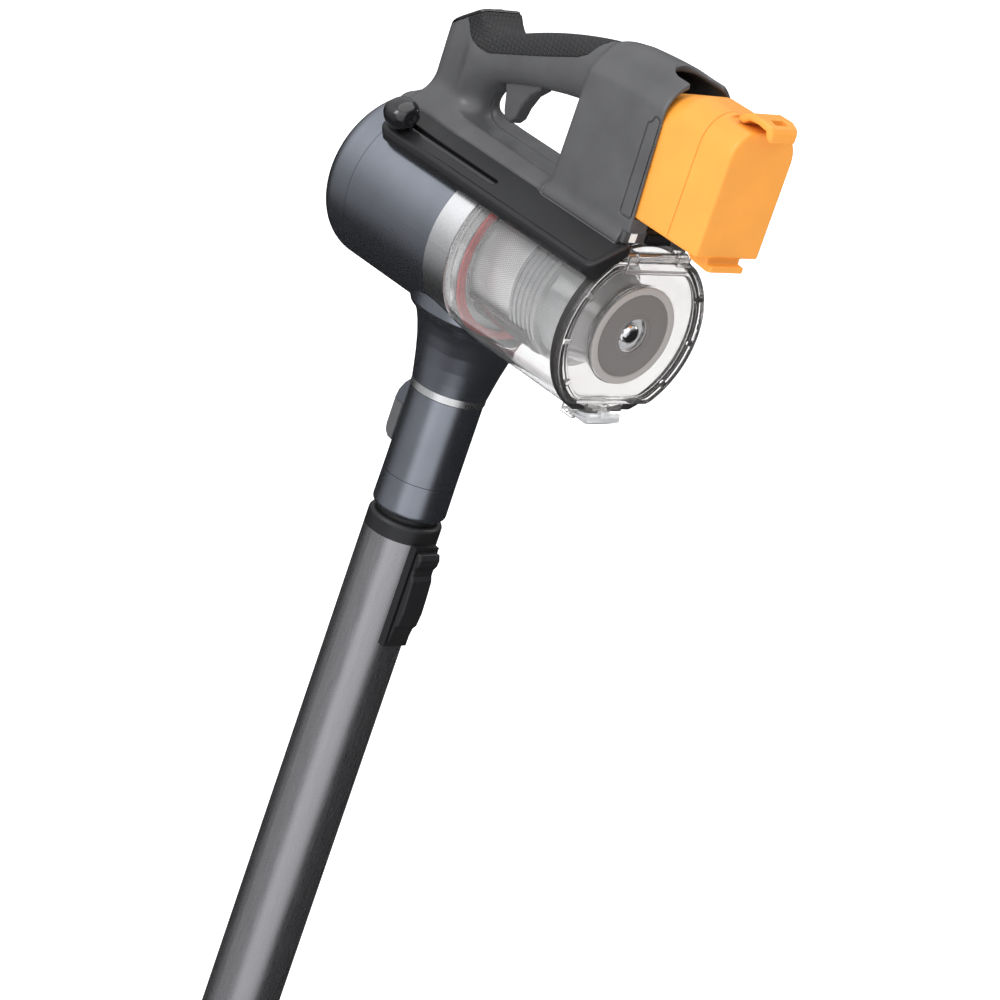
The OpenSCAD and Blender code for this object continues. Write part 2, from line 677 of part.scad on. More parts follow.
// ---- Battery housing and battery ----
module hood_outline(x, z0, z1, r) {
    polygon(concat([[-x, z0], [x, z0]], arc(x - r, z1 - r, r, 0, 90), arc(-x + r, z1 - r, r, 90, 180)));
}
bay_round = 17;
notch_r = 12.6;
catch_x = 12.5;
module battery_housing() {
    color("dimgray") at_axis() difference() {
        along_y(bay_front, bay_rear) hood_outline(side_x, saddle_z, roof_z, bay_round + bay_wall);
        along_y(bay_front + 2.2, bay_rear + 1)
            hood_outline(side_x - bay_wall, floor_z + bay_wall, batt_top + 0.9, bay_round);
        // finger notch in the roof
        translate([0, bay_rear - 12, roof_z - 20]) cylinder(r = notch_r, h = 40);
        box(-notch_r, notch_r, bay_rear - 12, bay_rear + 1, roof_z - 20, roof_z + 20);
        // hollow below the floor, and the notch that takes the pack's lower catch
        box(-side_x + 2.4, side_x - 2.4, bay_front + 2.4, bay_rear - 22, saddle_z + 2.4, floor_z - 0.6);
        box(-catch_x - 0.7, catch_x + 0.7, bay_rear - 18, bay_rear + 1, saddle_z - 1, floor_z + 10);
    }
}
module rear_bulkhead() {
    color("gray") at_axis() difference() {
        box(-side_x + 0.4, side_x - 0.4, bay_rear - 3, bay_rear, body_r + 0.8, saddle_z);
        box(release_x0 - gap, release_x1 + gap, bay_rear - 2.2, bay_rear + 1, body_r, saddle_z + 1);
    }
}
module batt_outline(s) { hood_outline(batt_x - s, batt_z0 + s, batt_top - s, bay_round - 0.5); }
module battery_case() {
    color("orange") at_axis() difference() {
        along_y(batt_y0, batt_seam) batt_outline(0);
        along_y(batt_y0 + 2, batt_seam + 1) batt_outline(2);
        box(-10, 10, batt_y0 - 1, batt_y0 + 3, batt_z0 + 20, batt_z0 + 32);
    }
}
module battery_end_cap() {
    color("orange") at_axis() {
        difference() {
            union() {
                along_y(batt_seam, batt_y1) batt_outline(0);
                // lower catch
                along_x(-catch_x, catch_x) polygon([[batt_y1 - 18, batt_z0 + 1], [batt_y1 - 18, batt_z0 - 4],
                    [batt_y1 - 14, batt_z0 - 6.6], [batt_y1 - 1, batt_z0 - 7.8], [batt_y1 + 3, batt_z0 - 7],
                    [batt_y1 + 3, batt_z0 - 3.4], [batt_y1 - 1, batt_z0 - 3.4], [batt_y1 - 1, batt_z0 + 1]]);
            }
            difference() {
                along_y(batt_seam - 1, batt_y1 - 2) batt_outline(2);
                box(-batt_x, batt_x, batt_y1 - 19, batt_y1, batt_top - 5, batt_top);
            }
            // seat and pivot of the clip
            box(-clip_x - gap, clip_x + gap, batt_y1 - 17.3, batt_y1 + 1, batt_top - 2.6, batt_top + 5);
            x_cyl(clip_pin_r + 0.1, -clip_x - 2.2, clip_x + 2.2, batt_y1 - 14, batt_top - 1.2);
        }
    }
}
cell_r = 9;
clip_x = 12;
clip_pin_r = 0.8;
module battery_cells() {
    color("steelblue") at_axis() for (i = [0:1], j = [0:2])
        translate([-10.5 + i * 21, 0, batt_z0 + 14 + j * 21]) y_cyl(cell_r, batt_y0 + 2.3, batt_y1 - 2.6);
}
module battery_clip() {
    z = batt_top;
    color("orange") at_axis() difference() {
        union() {
            along_x(-clip_x, clip_x) polygon([[batt_y1 - 16.5, z - 1.4], [batt_y1 - 16.5, z + 1], [batt_y1 - 13, z + 4.5],
                [batt_y1 - 8, z + 6.4], [batt_y1 + 2, z + 6.4], [batt_y1 + 8, z + 5], [batt_y1 + 10, z + 2.4],
                [batt_y1 + 10, z - 1.2], [batt_y1 + 8, z - 1.2], [batt_y1 + 6, z + 1.5], [batt_y1 - 1, z + 2.6],
                [batt_y1 - 8, z + 2.2], [batt_y1 - 12, z - 1.4]]);
        }
        // finger slot
        box(-5.5, 5.5, batt_y1 + 0.5, batt_y1 + 6, z - 5, z + 10);
    }
    color("orange") at_axis() x_cyl(clip_pin_r, -clip_x - 2, clip_x + 2, batt_y1 - 14, z - 1.2);
}

// ---- Floor head ----
fork_t = 8.4;
module head_neck() {
    color("slategray") difference() {
        union() {
            translate([0, 0, 88]) cylinder(r = socket_r - gap, h = socket_z1 - 88 - 38);
            translate([0, 0, 84]) cylinder(r = socket_r + 2.6, h = socket_z0 - 84 - 0.4);
            for (s = [-1, 1]) hull() {
                translate([0, s > 0 ? 8.6 : -17, swivel_z]) rotate([-90, 0, 0]) cylinder(r = 14, h = fork_t);
                box(-14, 14, s > 0 ? 8.6 : -17, s > 0 ? 17 : -8.6, 84, 92);
            }
        }
        translate([0, 0, 94]) cylinder(r = socket_r - 3.4, h = 100);
        y_shaft(4.1, -20, 20, swivel_z);
    }
}
module y_shaft(r, y0, y1, z) { translate([0, y0, z]) rotate([-90, 0, 0]) cylinder(r = r, h = y1 - y0); }
barrel_x = 27;
module head_yoke() {
    color("dimgray") {
        // stem with the swivel pin
        difference() {
            union() {
                hull() {
                    y_shaft(13.6, -8, 8, swivel_z);
                    box(-13.6, 13.6, -8, 8, pitch_z + 6, pitch_z + 16);
                }
                x_cyl(15, -barrel_x, barrel_x, 0, pitch_z);
            }
        }
        y_shaft(4, -16.8, -7.9, swivel_z);
        y_shaft(4, 7.9, 16.8, swivel_z);
        for (s = [-1, 1]) x_cyl(5, s > 0 ? barrel_x - 0.1 : -barrel_x - 8.5, s > 0 ? barrel_x + 8.5 : -barrel_x + 0.1, 0, pitch_z);
    }
}
module head_outline(s) {
    polygon(concat(arc(-74, 34 - s * 0.2, 18 - s, 180, 100, 6),
        [[-24, 59 - s], [8, 57 - s], [22 - s, 44 - s * 0.5], [24 - s, 30], [24 - s, 5], [-92 + s, 5]]));
}
module head_shell() {
    w = head_w / 2;
    color("dimgray") difference() {
        along_x(-w, w) head_outline(0);
        difference() {
            along_x(-w + head_wall, w - head_wall) union() {
                head_outline(head_wall);
                polygon([[-92 + head_wall, 4], [24 - head_wall, 4], [24 - head_wall, 12], [-92 + head_wall, 12]]);
            }
            // cheeks that carry the pitch trunnions
            for (s = [-1, 1]) box(s > 0 ? barrel_x + 0.6 : -barrel_x - 9, s > 0 ? barrel_x + 9 : -barrel_x - 0.6, -12, 12, 6, 70);
            // ribs that hold the roller motor
            for (x = [44, 90]) box(x, x + 6, motor_y - 8, motor_y + 8, motor_z, 70);
            // wall between roller chamber and works, clear of the belt
            box(-w + 1, w - 18, -38, -36, 5.5, 70);
        }
        // mouth in the lower front edge
        box(-w + 9, w - 9, -100, -84, 0, 17);
        // opening the neck leans back through
        along_x(-barrel_x - 0.5, barrel_x + 0.5) polygon([[-17, 13], [-17, 80], [40, 80], [40, 13]]);
        x_cyl(5.1, -barrel_x - 9.5, barrel_x + 9.5, 0, pitch_z);
        // roller bearings in the side walls
        x_cyl(4.1, -w - 1, w + 1, roller_y, roller_z);
        x_cyl(head_motor_r, 40, belt_x0 - 4, motor_y, motor_z);
        // wheel arches
        for (s = [-1, 1]) box(s * wheel_x - 6.8, s * wheel_x + 6.8, wheel_y - wheel_r - 2, 40, -1, wheel_r * 2 + 2);
    }
}
module sole_plate() {
    w = head_w / 2 - 0.5;
    color("black") difference() {
        union() {
            box(-w, w, -34, 21, 0, 5);
            // carriers of the wheel axles
            for (s = [-1, 1], d = [-9.8, 7.2]) box(s * wheel_x + d, s * wheel_x + d + 2.6, wheel_y - 4, wheel_y + 4, 4, wheel_r + 3);
        }
        for (s = [-1, 1]) {
            box(s * wheel_x - 6.8, s * wheel_x + 6.8, wheel_y - wheel_r - 2, 40, -1, 8);
            x_cyl(1.6, s * wheel_x - 9.2, s * wheel_x + 9.2, wheel_y, wheel_r);
        }
    }
}
module rear_wheel(s) {
    color("black") {
        x_cyl(wheel_r, s * wheel_x - 4.5, s * wheel_x + 4.5, wheel_y, wheel_r);
        x_cyl(1.5, s * wheel_x - 9, s * wheel_x + 9, wheel_y, wheel_r);
    }
}
module wheel_left() { rear_wheel(-1); }
module wheel_right() { rear_wheel(1); }
belt_x0 = head_w / 2 - 14.5;
belt_x1 = belt_x0 + 5;
module head_motor() {
    color("gray") difference() {
        x_cyl(head_motor_r, 40, belt_x0 - 4, motor_y, motor_z);
        x_cyl(2.1, belt_x0 - 20, belt_x0, motor_y, motor_z);
    }
}
module motor_pulley() {
    color("silver") {
        x_cyl(pulley_r, belt_x0 - 0.6, belt_x1 + 0.6, motor_y, motor_z);
        x_cyl(2, belt_x0 - 16, belt_x0, motor_y, motor_z);
    }
}
module drive_belt() {
    color("black") difference() {
        belt_loop(1.7, belt_x0, belt_x1);
        belt_loop(gap, belt_x0 - 1, belt_x1 + 1);
    }
}
// a taut loop round both pulleys, grown by g
module belt_loop(g, x0, x1) {
    hull() {
        x_cyl(pulley_r + g, x0, x1, motor_y, motor_z);
        x_cyl(roller_pulley_r + g, x0, x1, roller_y, roller_z);
    }
}
module brush_roller() {
    w = head_w / 2;
    color("steelblue") difference() {
        x_cyl(roller_r, -w + head_wall + 2, belt_x0 - 4, roller_y, roller_z);
        x_cyl(roller_r - 5, -w + head_wall + 1, belt_x0 - 9, roller_y, roller_z);
    }
    color("gray") {
        x_cyl(roller_pulley_r, belt_x0 - 0.6, belt_x1 + 0.6, roller_y, roller_z);
        x_cyl(8, belt_x0 - 4.1, belt_x0 - 0.5, roller_y, roller_z);
        x_cyl(4, -w + 0.5, w - 0.5, roller_y, roller_z);
        x_cyl(roller_r - 4.9, -w + head_wall + 3, -w + head_wall + 7, roller_y, roller_z);
    }
}

outer_tube();
tube_collar();
lower_socket();
length_lock();
inner_tube();
wand_fitting();
motor_housing();
inlet_neck();
neck_trim_ring();
inlet_collar();
collar_end_ring();
bin_trim_ring();
handle_left();
handle_right();
grip_pad();
control_panel();
battery_housing();
rear_bulkhead();
lever_rail();
motor_case();
pre_filter();
mesh_filter();
cyclone_collar();
cyclone_cones();
trigger_pin();
impeller();
rotor_shaft();
control_board();
exhaust_cap();
exhaust_filter();
wand_release();
trigger();
power_button();
suction_button();
compactor_lever();
compactor_ring();
compactor_seal();
dust_bin();
lid_hinge_pin();
bin_lid();
lid_gasket();
lid_disc();
lid_knob();
lid_latch();
bin_release();
battery_case();
battery_end_cap();
battery_cells();
battery_clip();
head_release();
head_neck();
head_yoke();
head_shell();
sole_plate();
head_motor();
drive_belt();
brush_roller();
motor_pulley();
wheel_left();
wheel_right();
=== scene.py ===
"""Cordless stick vacuum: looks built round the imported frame."""
import json
import math

import bmesh
import bpy
import numpy as np
from mathutils import Matrix, Vector


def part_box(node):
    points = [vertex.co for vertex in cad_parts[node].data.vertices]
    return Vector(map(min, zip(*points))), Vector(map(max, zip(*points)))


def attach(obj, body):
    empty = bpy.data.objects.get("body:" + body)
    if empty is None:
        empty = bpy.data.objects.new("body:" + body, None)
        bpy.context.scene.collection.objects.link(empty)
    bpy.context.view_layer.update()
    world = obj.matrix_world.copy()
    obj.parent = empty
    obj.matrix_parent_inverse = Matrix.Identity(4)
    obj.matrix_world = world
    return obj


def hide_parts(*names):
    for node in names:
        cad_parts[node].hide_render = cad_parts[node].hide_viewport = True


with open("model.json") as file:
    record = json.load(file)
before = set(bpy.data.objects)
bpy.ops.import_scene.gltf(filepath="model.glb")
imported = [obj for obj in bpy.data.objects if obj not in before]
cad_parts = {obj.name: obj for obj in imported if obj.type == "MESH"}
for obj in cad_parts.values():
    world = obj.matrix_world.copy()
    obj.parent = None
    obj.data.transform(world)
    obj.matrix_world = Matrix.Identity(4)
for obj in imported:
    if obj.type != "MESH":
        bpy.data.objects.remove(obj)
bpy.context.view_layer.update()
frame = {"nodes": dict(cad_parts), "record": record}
NODES = frame["nodes"]
BODY_OF = {n: b for b, names in frame["record"]["behaviour"]["bodies"].items() for n in names}
SLOT_OF = {p["node"]: p["material_slot"] for p in frame["record"]["subparts"]}
MM = 0.001

# The cyclone's axis, and the main sizes, taken from the frame
lo_h, hi_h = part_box("motor_housing")
AXIS_H = (lo_h[2] + hi_h[2]) / 2 / MM
BODY_R = (hi_h[2] - lo_h[2]) / 2 / MM

# ---------------------------------------------------------------- camera and light

CAMERA_AT = Vector((1.90275, 1.83721, AXIS_H * MM + 0.799))
CAMERA_TURN = (132.93, 19.69, 19.18)
CAMERA_LENS = 172.98
CAMERA_REACH = 60
# (direction, cosine where the glow starts, cosine where it is full, strength)
SKY = (((0.1, -0.1, 1.0), -0.15, 0.8, 0.85),
       ((0.62, 0.72, 0.10), 0.6, 0.82, 0.95),
       ((0.95, -0.25, 0.1), 0.35, 0.95, 0.42))
SKY_EVERYWHERE = 0.02
SKY_TINT = (0.97, 0.98, 1.0, 1)
SUN_STRENGTH = 1.1
SUN_SPREAD = math.radians(70)
# (name, place along the camera's right, up and back, size, watts)
PANELS = (("key", (-1.3, 1.1, 1.5), (0.9, 1.3), 17),
          ("edge", (1.9, 0.9, -0.4), (0.3, 1.6), 7))


def place_camera():
    """Camera above, behind and to the right, and rolled. Returns its right, up and back."""
    azimuth, elevation, roll = (math.radians(v) for v in CAMERA_TURN)
    back = Vector((math.sin(azimuth) * math.cos(elevation), -math.cos(azimuth) * math.cos(elevation),
                   math.sin(elevation)))
    side = Vector((0, 0, 1)).cross(back).normalized()
    up = back.cross(side)
    x = side * math.cos(roll) + up * math.sin(roll)
    y = -side * math.sin(roll) + up * math.cos(roll)
    data = bpy.data.cameras.new("camera")
    data.sensor_width = 36
    data.lens = CAMERA_LENS
    data.clip_end = CAMERA_REACH
    camera = bpy.data.objects.new("camera", data)
    bpy.context.scene.collection.objects.link(camera)
    camera.matrix_world = Matrix.Translation(CAMERA_AT) @ Matrix((x, y, back)).transposed().to_4x4()
    bpy.context.scene.camera = camera
    return x, y, back


cam_x, cam_y, cam_back = place_camera()


def area_light(name, place, target, size, power):
    data = bpy.data.lights.new(name, "AREA")
    data.shape = "RECTANGLE"
    data.size, data.size_y = size
    data.energy = power
    lamp = bpy.data.objects.new(name, data)
    lamp.location = place
    lamp.rotation_euler = (target - place).to_track_quat("-Z", "Y").to_euler()
    bpy.context.scene.collection.objects.link(lamp)


def studio_sky():
    """Soft surroundings: bright overhead, one broad soft panel on the right, dark flags elsewhere."""
    world = bpy.data.worlds.new("studio")
    world.use_nodes = True
    tree = world.node_tree
    way = tree.nodes.new("ShaderNodeTexCoord").outputs["Generated"]

    def lobe(direction, low, high, gain):
        """Glow round a direction, in the world's own axes."""
        dot = tree.nodes.new("ShaderNodeVectorMath")
        dot.operation = "DOT_PRODUCT"
        dot.inputs[1].default_value = Vector(direction).normalized()
        tree.links.new(way, dot.inputs[0])
        fade = tree.nodes.new("ShaderNodeMapRange")
        fade.interpolation_type = "SMOOTHSTEP"
        fade.inputs["From Min"].default_value, fade.inputs["From Max"].default_value = low, high
        fade.inputs["To Max"].default_value = gain
        tree.links.new(dot.outputs["Value"], fade.inputs["Value"])
        return fade.outputs["Result"]

    total = None
    for direction, low, high, gain in SKY:
        value = lobe(direction, low, high, gain)
        if total is None:
            total = value
            continue
        add = tree.nodes.new("ShaderNodeMath")
        tree.links.new(total, add.inputs[0])
        tree.links.new(value, add.inputs[1])
        total = add.outputs["Value"]
    add = tree.nodes.new("ShaderNodeMath")
    tree.links.new(total, add.inputs[0])
    add.inputs[1].default_value = SKY_EVERYWHERE
    back = tree.nodes["Background"]
    back.inputs[0].default_value = SKY_TINT
    tree.links.new(add.outputs["Value"], back.inputs[1])
    bpy.context.scene.world = world


def light_scene():
    studio_sky()
    centre = Vector((0, 0, AXIS_H * MM))
    sun = bpy.data.lights.new("overhead", "SUN")
    sun.energy = SUN_STRENGTH
    sun.angle = SUN_SPREAD
    lamp = bpy.data.objects.new("overhead", sun)
    bpy.context.scene.collection.objects.link(lamp)
    for name, (right, up, back), size, power in PANELS:
        area_light(name, centre + cam_x * right + cam_y * up + cam_back * back, centre, size, power)
    bpy.context.scene.view_settings.view_transform = "Standard"


light_scene()

# ---------------------------------------------------------------- materials


class Shader:
    """A small helper round one material's node tree."""

    def __init__(self, name):
        self.mat = bpy.data.materials.new(name)
        self.mat.use_nodes = True
        self.tree = self.mat.node_tree
        self.bsdf = self.tree.nodes["Principled BSDF"]
        self.coords = self.node("ShaderNodeTexCoord").outputs["Object"]

    def node(self, kind, **values):
        n = self.tree.nodes.new(kind)
        for key, value in values.items():
            setattr(n, key, value)
        return n

    def link(self, a, b):
        self.tree.links.new(a, b)

    def set(self, **values):
        for key, value in values.items():
            self.bsdf.inputs[key.replace("_", " ")].default_value = value

    def scaled(self, scale):
        n = self.node("ShaderNodeMapping")
        n.inputs["Scale"].default_value = scale
        self.link(self.coords, n.inputs["Vector"])
        return n.outputs["Vector"]

    def noise(self, scale, detail=4, stretch=None, rough=0.55):
        n = self.node("ShaderNodeTexNoise")
        n.inputs["Scale"].default_value = scale
        n.inputs["Detail"].default_value = detail
        n.inputs["Roughness"].default_value = rough
        self.link(self.scaled(stretch) if stretch else self.coords, n.inputs["Vector"])
        return n.outputs["Fac"]

    def ramp(self, value, stops):
        n = self.node("ShaderNodeValToRGB")
        while len(n.color_ramp.elements) < len(stops):
            n.color_ramp.elements.new(0.5)
        for element, (place, colour) in zip(n.color_ramp.elements, stops):
            element.position = place
            element.color = (*colour, 1) if len(colour) == 3 else colour
        self.link(value, n.inputs["Fac"])
        return n.outputs["Color"]

    def span(self, value, low, high, source=(0.3, 0.7)):
        n = self.node("ShaderNodeMapRange")
        n.inputs["From Min"].default_value, n.inputs["From Max"].default_value = source
        n.inputs["To Min"].default_value, n.inputs["To Max"].default_value = low, high
        self.link(value, n.inputs["Value"])
        return n.outputs["Result"]

    def math(self, operation, a, b=0.0):
        n = self.node("ShaderNodeMath", operation=operation)
        for socket, value in zip(n.inputs, (a, b)):
            if isinstance(value, (int, float)):
                socket.default_value = value
            else:
                self.link(value, socket)
        return n.outputs["Value"]

    def bump(self, height, depth_mm):
        n = self.node("ShaderNodeBump")
        n.inputs["Distance"].default_value = depth_mm * MM
        previous = self.bsdf.inputs["Normal"]
        if previous.is_linked:
            self.link(previous.links[0].from_socket, n.inputs["Normal"])
        self.link(height, n.inputs["Height"])
        self.link(n.outputs["Normal"], previous)

    def colour(self, socket):
        self.link(socket, self.bsdf.inputs["Base Color"])

    def rough(self, socket):
        self.link(socket, self.bsdf.inputs["Roughness"])

    def tones(self, value, colour, low, high):
        """A colour that wanders between two shades of one colour."""
        return self.ramp(value, [(0.3, shade(colour, low)), (0.7, shade(colour, high))])


def shade(colour, factor):
    return tuple(min(1.0, c * factor) for c in colour)


def plastic(name, colour, rough=0.4, grain=0.012, grain_scale=2600, spread=0.12, **extra):
    """Moulded plastic: faint colour drift, fine spark-eroded grain, handling marks in the gloss."""
    s = Shader(name)
    s.colour(s.tones(s.noise(38, 5), colour, 1 - spread, 1 + spread))
    s.rough(s.span(s.noise(120, 6, rough=0.65), rough * 0.82, rough * 1.2))
    s.bump(s.noise(grain_scale, 3), grain)
    s.set(**extra)
    return s.mat


FLAKES_PER_METRE = 9000


def painted(name, colour, rough, flake):
    """Metallic lacquer: bright flakes under a clear coat."""
    s = Shader(name)
    flakes = s.node("ShaderNodeTexVoronoi")
    flakes.inputs["Scale"].default_value = FLAKES_PER_METRE
    s.link(s.coords, flakes.inputs["Vector"])
    drift = s.tones(s.noise(30, 4), colour, 0.93, 1.07)
    mix = s.node("ShaderNodeMix", data_type="RGBA")
    s.link(s.span(flakes.outputs["Distance"], flake, 0.0, (0.05, 0.5)), mix.inputs["Factor"])
    s.link(drift, mix.inputs[6])
    mix.inputs[7].default_value = (*shade(colour, 1.7), 1)
    s.colour(mix.outputs[2])
    s.rough(s.span(s.noise(14, 3), rough * 0.95, rough * 1.06))
    s.bump(s.noise(5000, 2), 0.0006)
    s.set(Metallic=0.96, Coat_Weight=0.25, Coat_Roughness=0.2)
    return s.mat


def brushed(name, colour, rough=0.3, stretch=(1, 40, 1), lines=700, depth=0.006, metallic=1.0):
    """Metal with fine lines along one direction."""
    s = Shader(name)
    lines_value = s.noise(lines, 5, stretch)
    s.colour(s.tones(lines_value, colour, 0.86, 1.1))
    s.rough(s.span(lines_value, rough * 0.75, rough * 1.3))
    s.bump(lines_value, depth)
    s.set(Metallic=metallic)
    return s.mat


CLEAR_IOR = 1.46


def clear(name, colour, rough=0.05, weight=0.95):
    """Clear or smoky moulded plastic with faint scuffs."""
    s = Shader(name)
    s.colour(s.tones(s.noise(60, 3), colour, 0.985, 1.015))
    s.rough(s.span(s.noise(420, 6, rough=0.7), rough * 0.6, rough * 1.8))
    s.bump(s.noise(60, 2), 0.002)
    s.set(Transmission_Weight=weight, IOR=CLEAR_IOR)
    return s.mat


def rubber(name, colour, rough=0.62, dimple=None):
    """Soft rubber; dimple gives the pitch in millimetres of a moulded pattern of small cells."""
    s = Shader(name)
    s.colour(s.tones(s.noise(45, 5), colour, 0.85, 1.15))
    s.rough(s.span(s.noise(300, 5), rough * 0.85, rough * 1.12))
    if dimple:
        cells = s.node("ShaderNodeTexVoronoi", distance="CHEBYCHEV")
        cells.inputs["Scale"].default_value = 1 / (dimple * MM)
        cells.inputs["Randomness"].default_value = 0.0
        turn = s.node("ShaderNodeMapping")
        turn.inputs["Rotation"].default_value = (0, 0, math.radians(45))
        s.link(s.coords, turn.inputs["Vector"])
        s.link(turn.outputs["Vector"], cells.inputs["Vector"])
        s.bump(s.span(cells.outputs["Distance"], 1, 0, (0.25, 0.48)), 0.35)
    s.bump(s.noise(2200, 3), 0.01)
    return s.mat


DISC_EDGE = (0.0250, 0.0256)


def sealing_disc(name, colour):
    """Fine-grained grey disc, paler in the rim beyond 25 mm from the cyclone's axis."""
    s = Shader(name)
    split = s.node("ShaderNodeSeparateXYZ")
    s.link(s.coords, split.inputs["Vector"])
    height = s.math("SUBTRACT", split.outputs["Z"], AXIS_H * MM)
    across = split.outputs["X"]
    far = s.math("SQRT", s.math("ADD", s.math("MULTIPLY", across, across), s.math("MULTIPLY", height, height)))
    grain = s.noise(1800, 4)
    rim = s.math("ADD", s.span(far, 0, 0.8, DISC_EDGE), s.math("MULTIPLY", grain, 0.2))
    s.colour(s.ramp(rim, [(0.05, colour), (0.95, shade(colour, 2.3))]))
    s.rough(s.span(grain, 0.36, 0.5))
    s.bump(grain, 0.03)
    return s.mat


MESH_R = 35
MESH_PITCH = 1.35
HOLE_EDGE = (0.26, 0.34)
ROW_RISE = 0.87


def mesh_sheet(name, colour):
    """Perforated sheet: rows of fine holes round a sleeve whose axis runs along Y."""
    s = Shader(name)
    split = s.node("ShaderNodeSeparateXYZ")
    s.link(s.coords, split.inputs["Vector"])
    height = s.math("SUBTRACT", split.outputs["Z"], AXIS_H * MM)
    angle = s.math("ARCTAN2", height, split.outputs["X"])
    around = s.math("MULTIPLY", angle, MESH_R / MESH_PITCH)
    along = s.math("MULTIPLY", split.outputs["Y"], 1 / (MESH_PITCH * MM * ROW_RISE))
    row = s.math("FLOOR", along)
    shift = s.math("MULTIPLY", s.math("MODULO", row, 2.0), 0.5)
    u = s.math("SUBTRACT", s.math("FRACT", s.math("ADD", around, shift)), 0.5)
    v = s.math("SUBTRACT", s.math("FRACT", along), 0.5)
    far = s.math("SQRT", s.math("ADD", s.math("MULTIPLY", u, u), s.math("MULTIPLY", v, v)))
    metal = s.span(far, 0.0, 1.0, HOLE_EDGE)
    s.colour(s.ramp(metal, [(0.0, shade(colour, 0.4)), (1.0, colour)]))
    s.rough(s.span(s.noise(300, 4), 0.28, 0.42))
    s.bump(metal, 0.12)
    s.set(Metallic=0.45)
    return s.mat


def pile(name, colour):
    """Short soft fibres on the roller."""
    s = Shader(name)
    fibres = s.noise(3800, 4, (0.25, 1, 1))
    s.colour(s.tones(fibres, colour, 0.55, 1.4))
    s.rough(s.span(fibres, 0.8, 0.98))
    s.bump(fibres, 0.25)
    s.set(Sheen_Weight=0.5)
    return s.mat


MATERIALS = {
    "metallic_grey": painted("metallic_grey", (0.27, 0.285, 0.325), 0.25, 0.05),
    "trim_metal": brushed("trim_metal", (0.84, 0.845, 0.85), 0.3, (1, 14, 1), 500, 0.0012),
    "tube_grey": brushed("tube_grey", (0.38, 0.37, 0.385), 0.27, (1, 1, 0.02), 2600, 0.003, 0.95),
    "tube_bright": brushed("tube_bright", (0.62, 0.62, 0.64), 0.3, (1, 1, 0.02), 2200),
    "dark_plastic": plastic("dark_plastic", (0.075, 0.075, 0.078), 0.36),
    "black_plastic": plastic("black_plastic", (0.011, 0.011, 0.012), 0.38, Specular_IOR_Level=0.4),
    "black_gloss": plastic("black_gloss", (0.008, 0.008, 0.009), 0.14, 0.001, Coat_Weight=0.4),
    "grip_rubber": rubber("grip_rubber", (0.012, 0.012, 0.013), 0.6, 2.2),
    "clear_bin": clear("clear_bin", (0.90, 0.90, 0.895), 0.006),
    "clear_part": clear("clear_part", (0.86, 0.865, 0.87), 0.08, 0.66),
    "lid_grey": clear("lid_grey", (0.78, 0.76, 0.75), 0.008),
    "smoke_brown": clear("smoke_brown", (0.20, 0.16, 0.145), 0.05, 0.7),
    "disc_grey": sealing_disc("disc_grey", (0.15, 0.14, 0.135)),
    "mesh_metal": mesh_sheet("mesh_metal", (0.72, 0.72, 0.73)),
    "steel": brushed("steel", (0.55, 0.55, 0.56), 0.28, (40, 1, 40), 500),
    "chrome_knob": brushed("chrome_knob", (0.82, 0.82, 0.83), 0.12, (1, 1, 1), 900, 0.002),
    "seal_red": rubber("seal_red", (0.55, 0.02, 0.015), 0.5),
    "gasket_dark": rubber("gasket_dark", (0.022, 0.02, 0.019), 0.5),
    "battery_orange": plastic("battery_orange", (0.80, 0.31, 0.038), 0.42, 0.014, 2200, 0.04),
    "cell_wrap": plastic("cell_wrap", (0.05, 0.16, 0.42), 0.25, 0.004),
    "filter_white": rubber("filter_white", (0.75, 0.75, 0.73), 0.9),
    "board_green": plastic("board_green", (0.02, 0.13, 0.05), 0.4),
    "copper_motor": brushed("copper_motor", (0.45, 0.2, 0.09), 0.4, (1, 30, 1), 400),
    "roller_fabric": pile("roller_fabric", (0.055, 0.075, 0.12)),
    "belt_rubber": rubber("belt_rubber", (0.02, 0.02, 0.02), 0.7),
    "wheel_rubber": rubber("wheel_rubber", (0.03, 0.03, 0.032), 0.6),
}

# nodes whose finish differs a little from their slot's
FINISH_OF = {"compactor_ring": "clear_bin", "wand_release": "dark_plastic"}


def dress(obj, slot_name):
    obj.data.materials.clear()
    obj.data.materials.append(MATERIALS[slot_name])


# ---------------------------------------------------------------- shapes from distance fields

SETTLES = 2
PROBE = 0.08
LONGEST_MOVE = 0.45


def smin(a, b, k):
    """The nearer of two distances, blended over k."""
    h = np.clip(0.5 + 0.5 * (b - a) / k, 0, 1)
    return b + (a - b) * h - k * h * (1 - h)


def smax(a, b, k):
    """The farther of two distances, blended over k."""
    return -smin(-a, -b, k)


def brick(p, low, high, r=0.0):
    """Box from low to high with rounded edges."""
    q = [np.abs(p[i] - (low[i] + high[i]) / 2) - (high[i] - low[i]) / 2 + r for i in range(3)]
    outside = np.sqrt(sum(np.maximum(v, 0) ** 2 for v in q))
    return outside + np.minimum(np.maximum(np.maximum(q[0], q[1]), q[2]), 0) - r


def outline(u, v, points):
    """Signed distance to a closed polygon in the plane of u and v."""
    points = np.array(points, float)
    best = np.full(np.shape(u), 1e9)
    inside = np.zeros(np.shape(u), bool)
    for a, b in zip(points, np.roll(points, -1, axis=0)):
        e = b - a
        t = np.clip(((u - a[0]) * e[0] + (v - a[1]) * e[1]) / (e @ e), 0, 1)
        best = np.minimum(best, (u - a[0] - e[0] * t) ** 2 + (v - a[1] - e[1] * t) ** 2)
        if a[1] != b[1]:
            crosses = (a[1] > v) != (b[1] > v)
            inside ^= crosses & (u < (b[0] - a[0]) * (v - a[1]) / (b[1] - a[1]) + a[0])
    return np.where(inside, -1, 1) * np.sqrt(best)


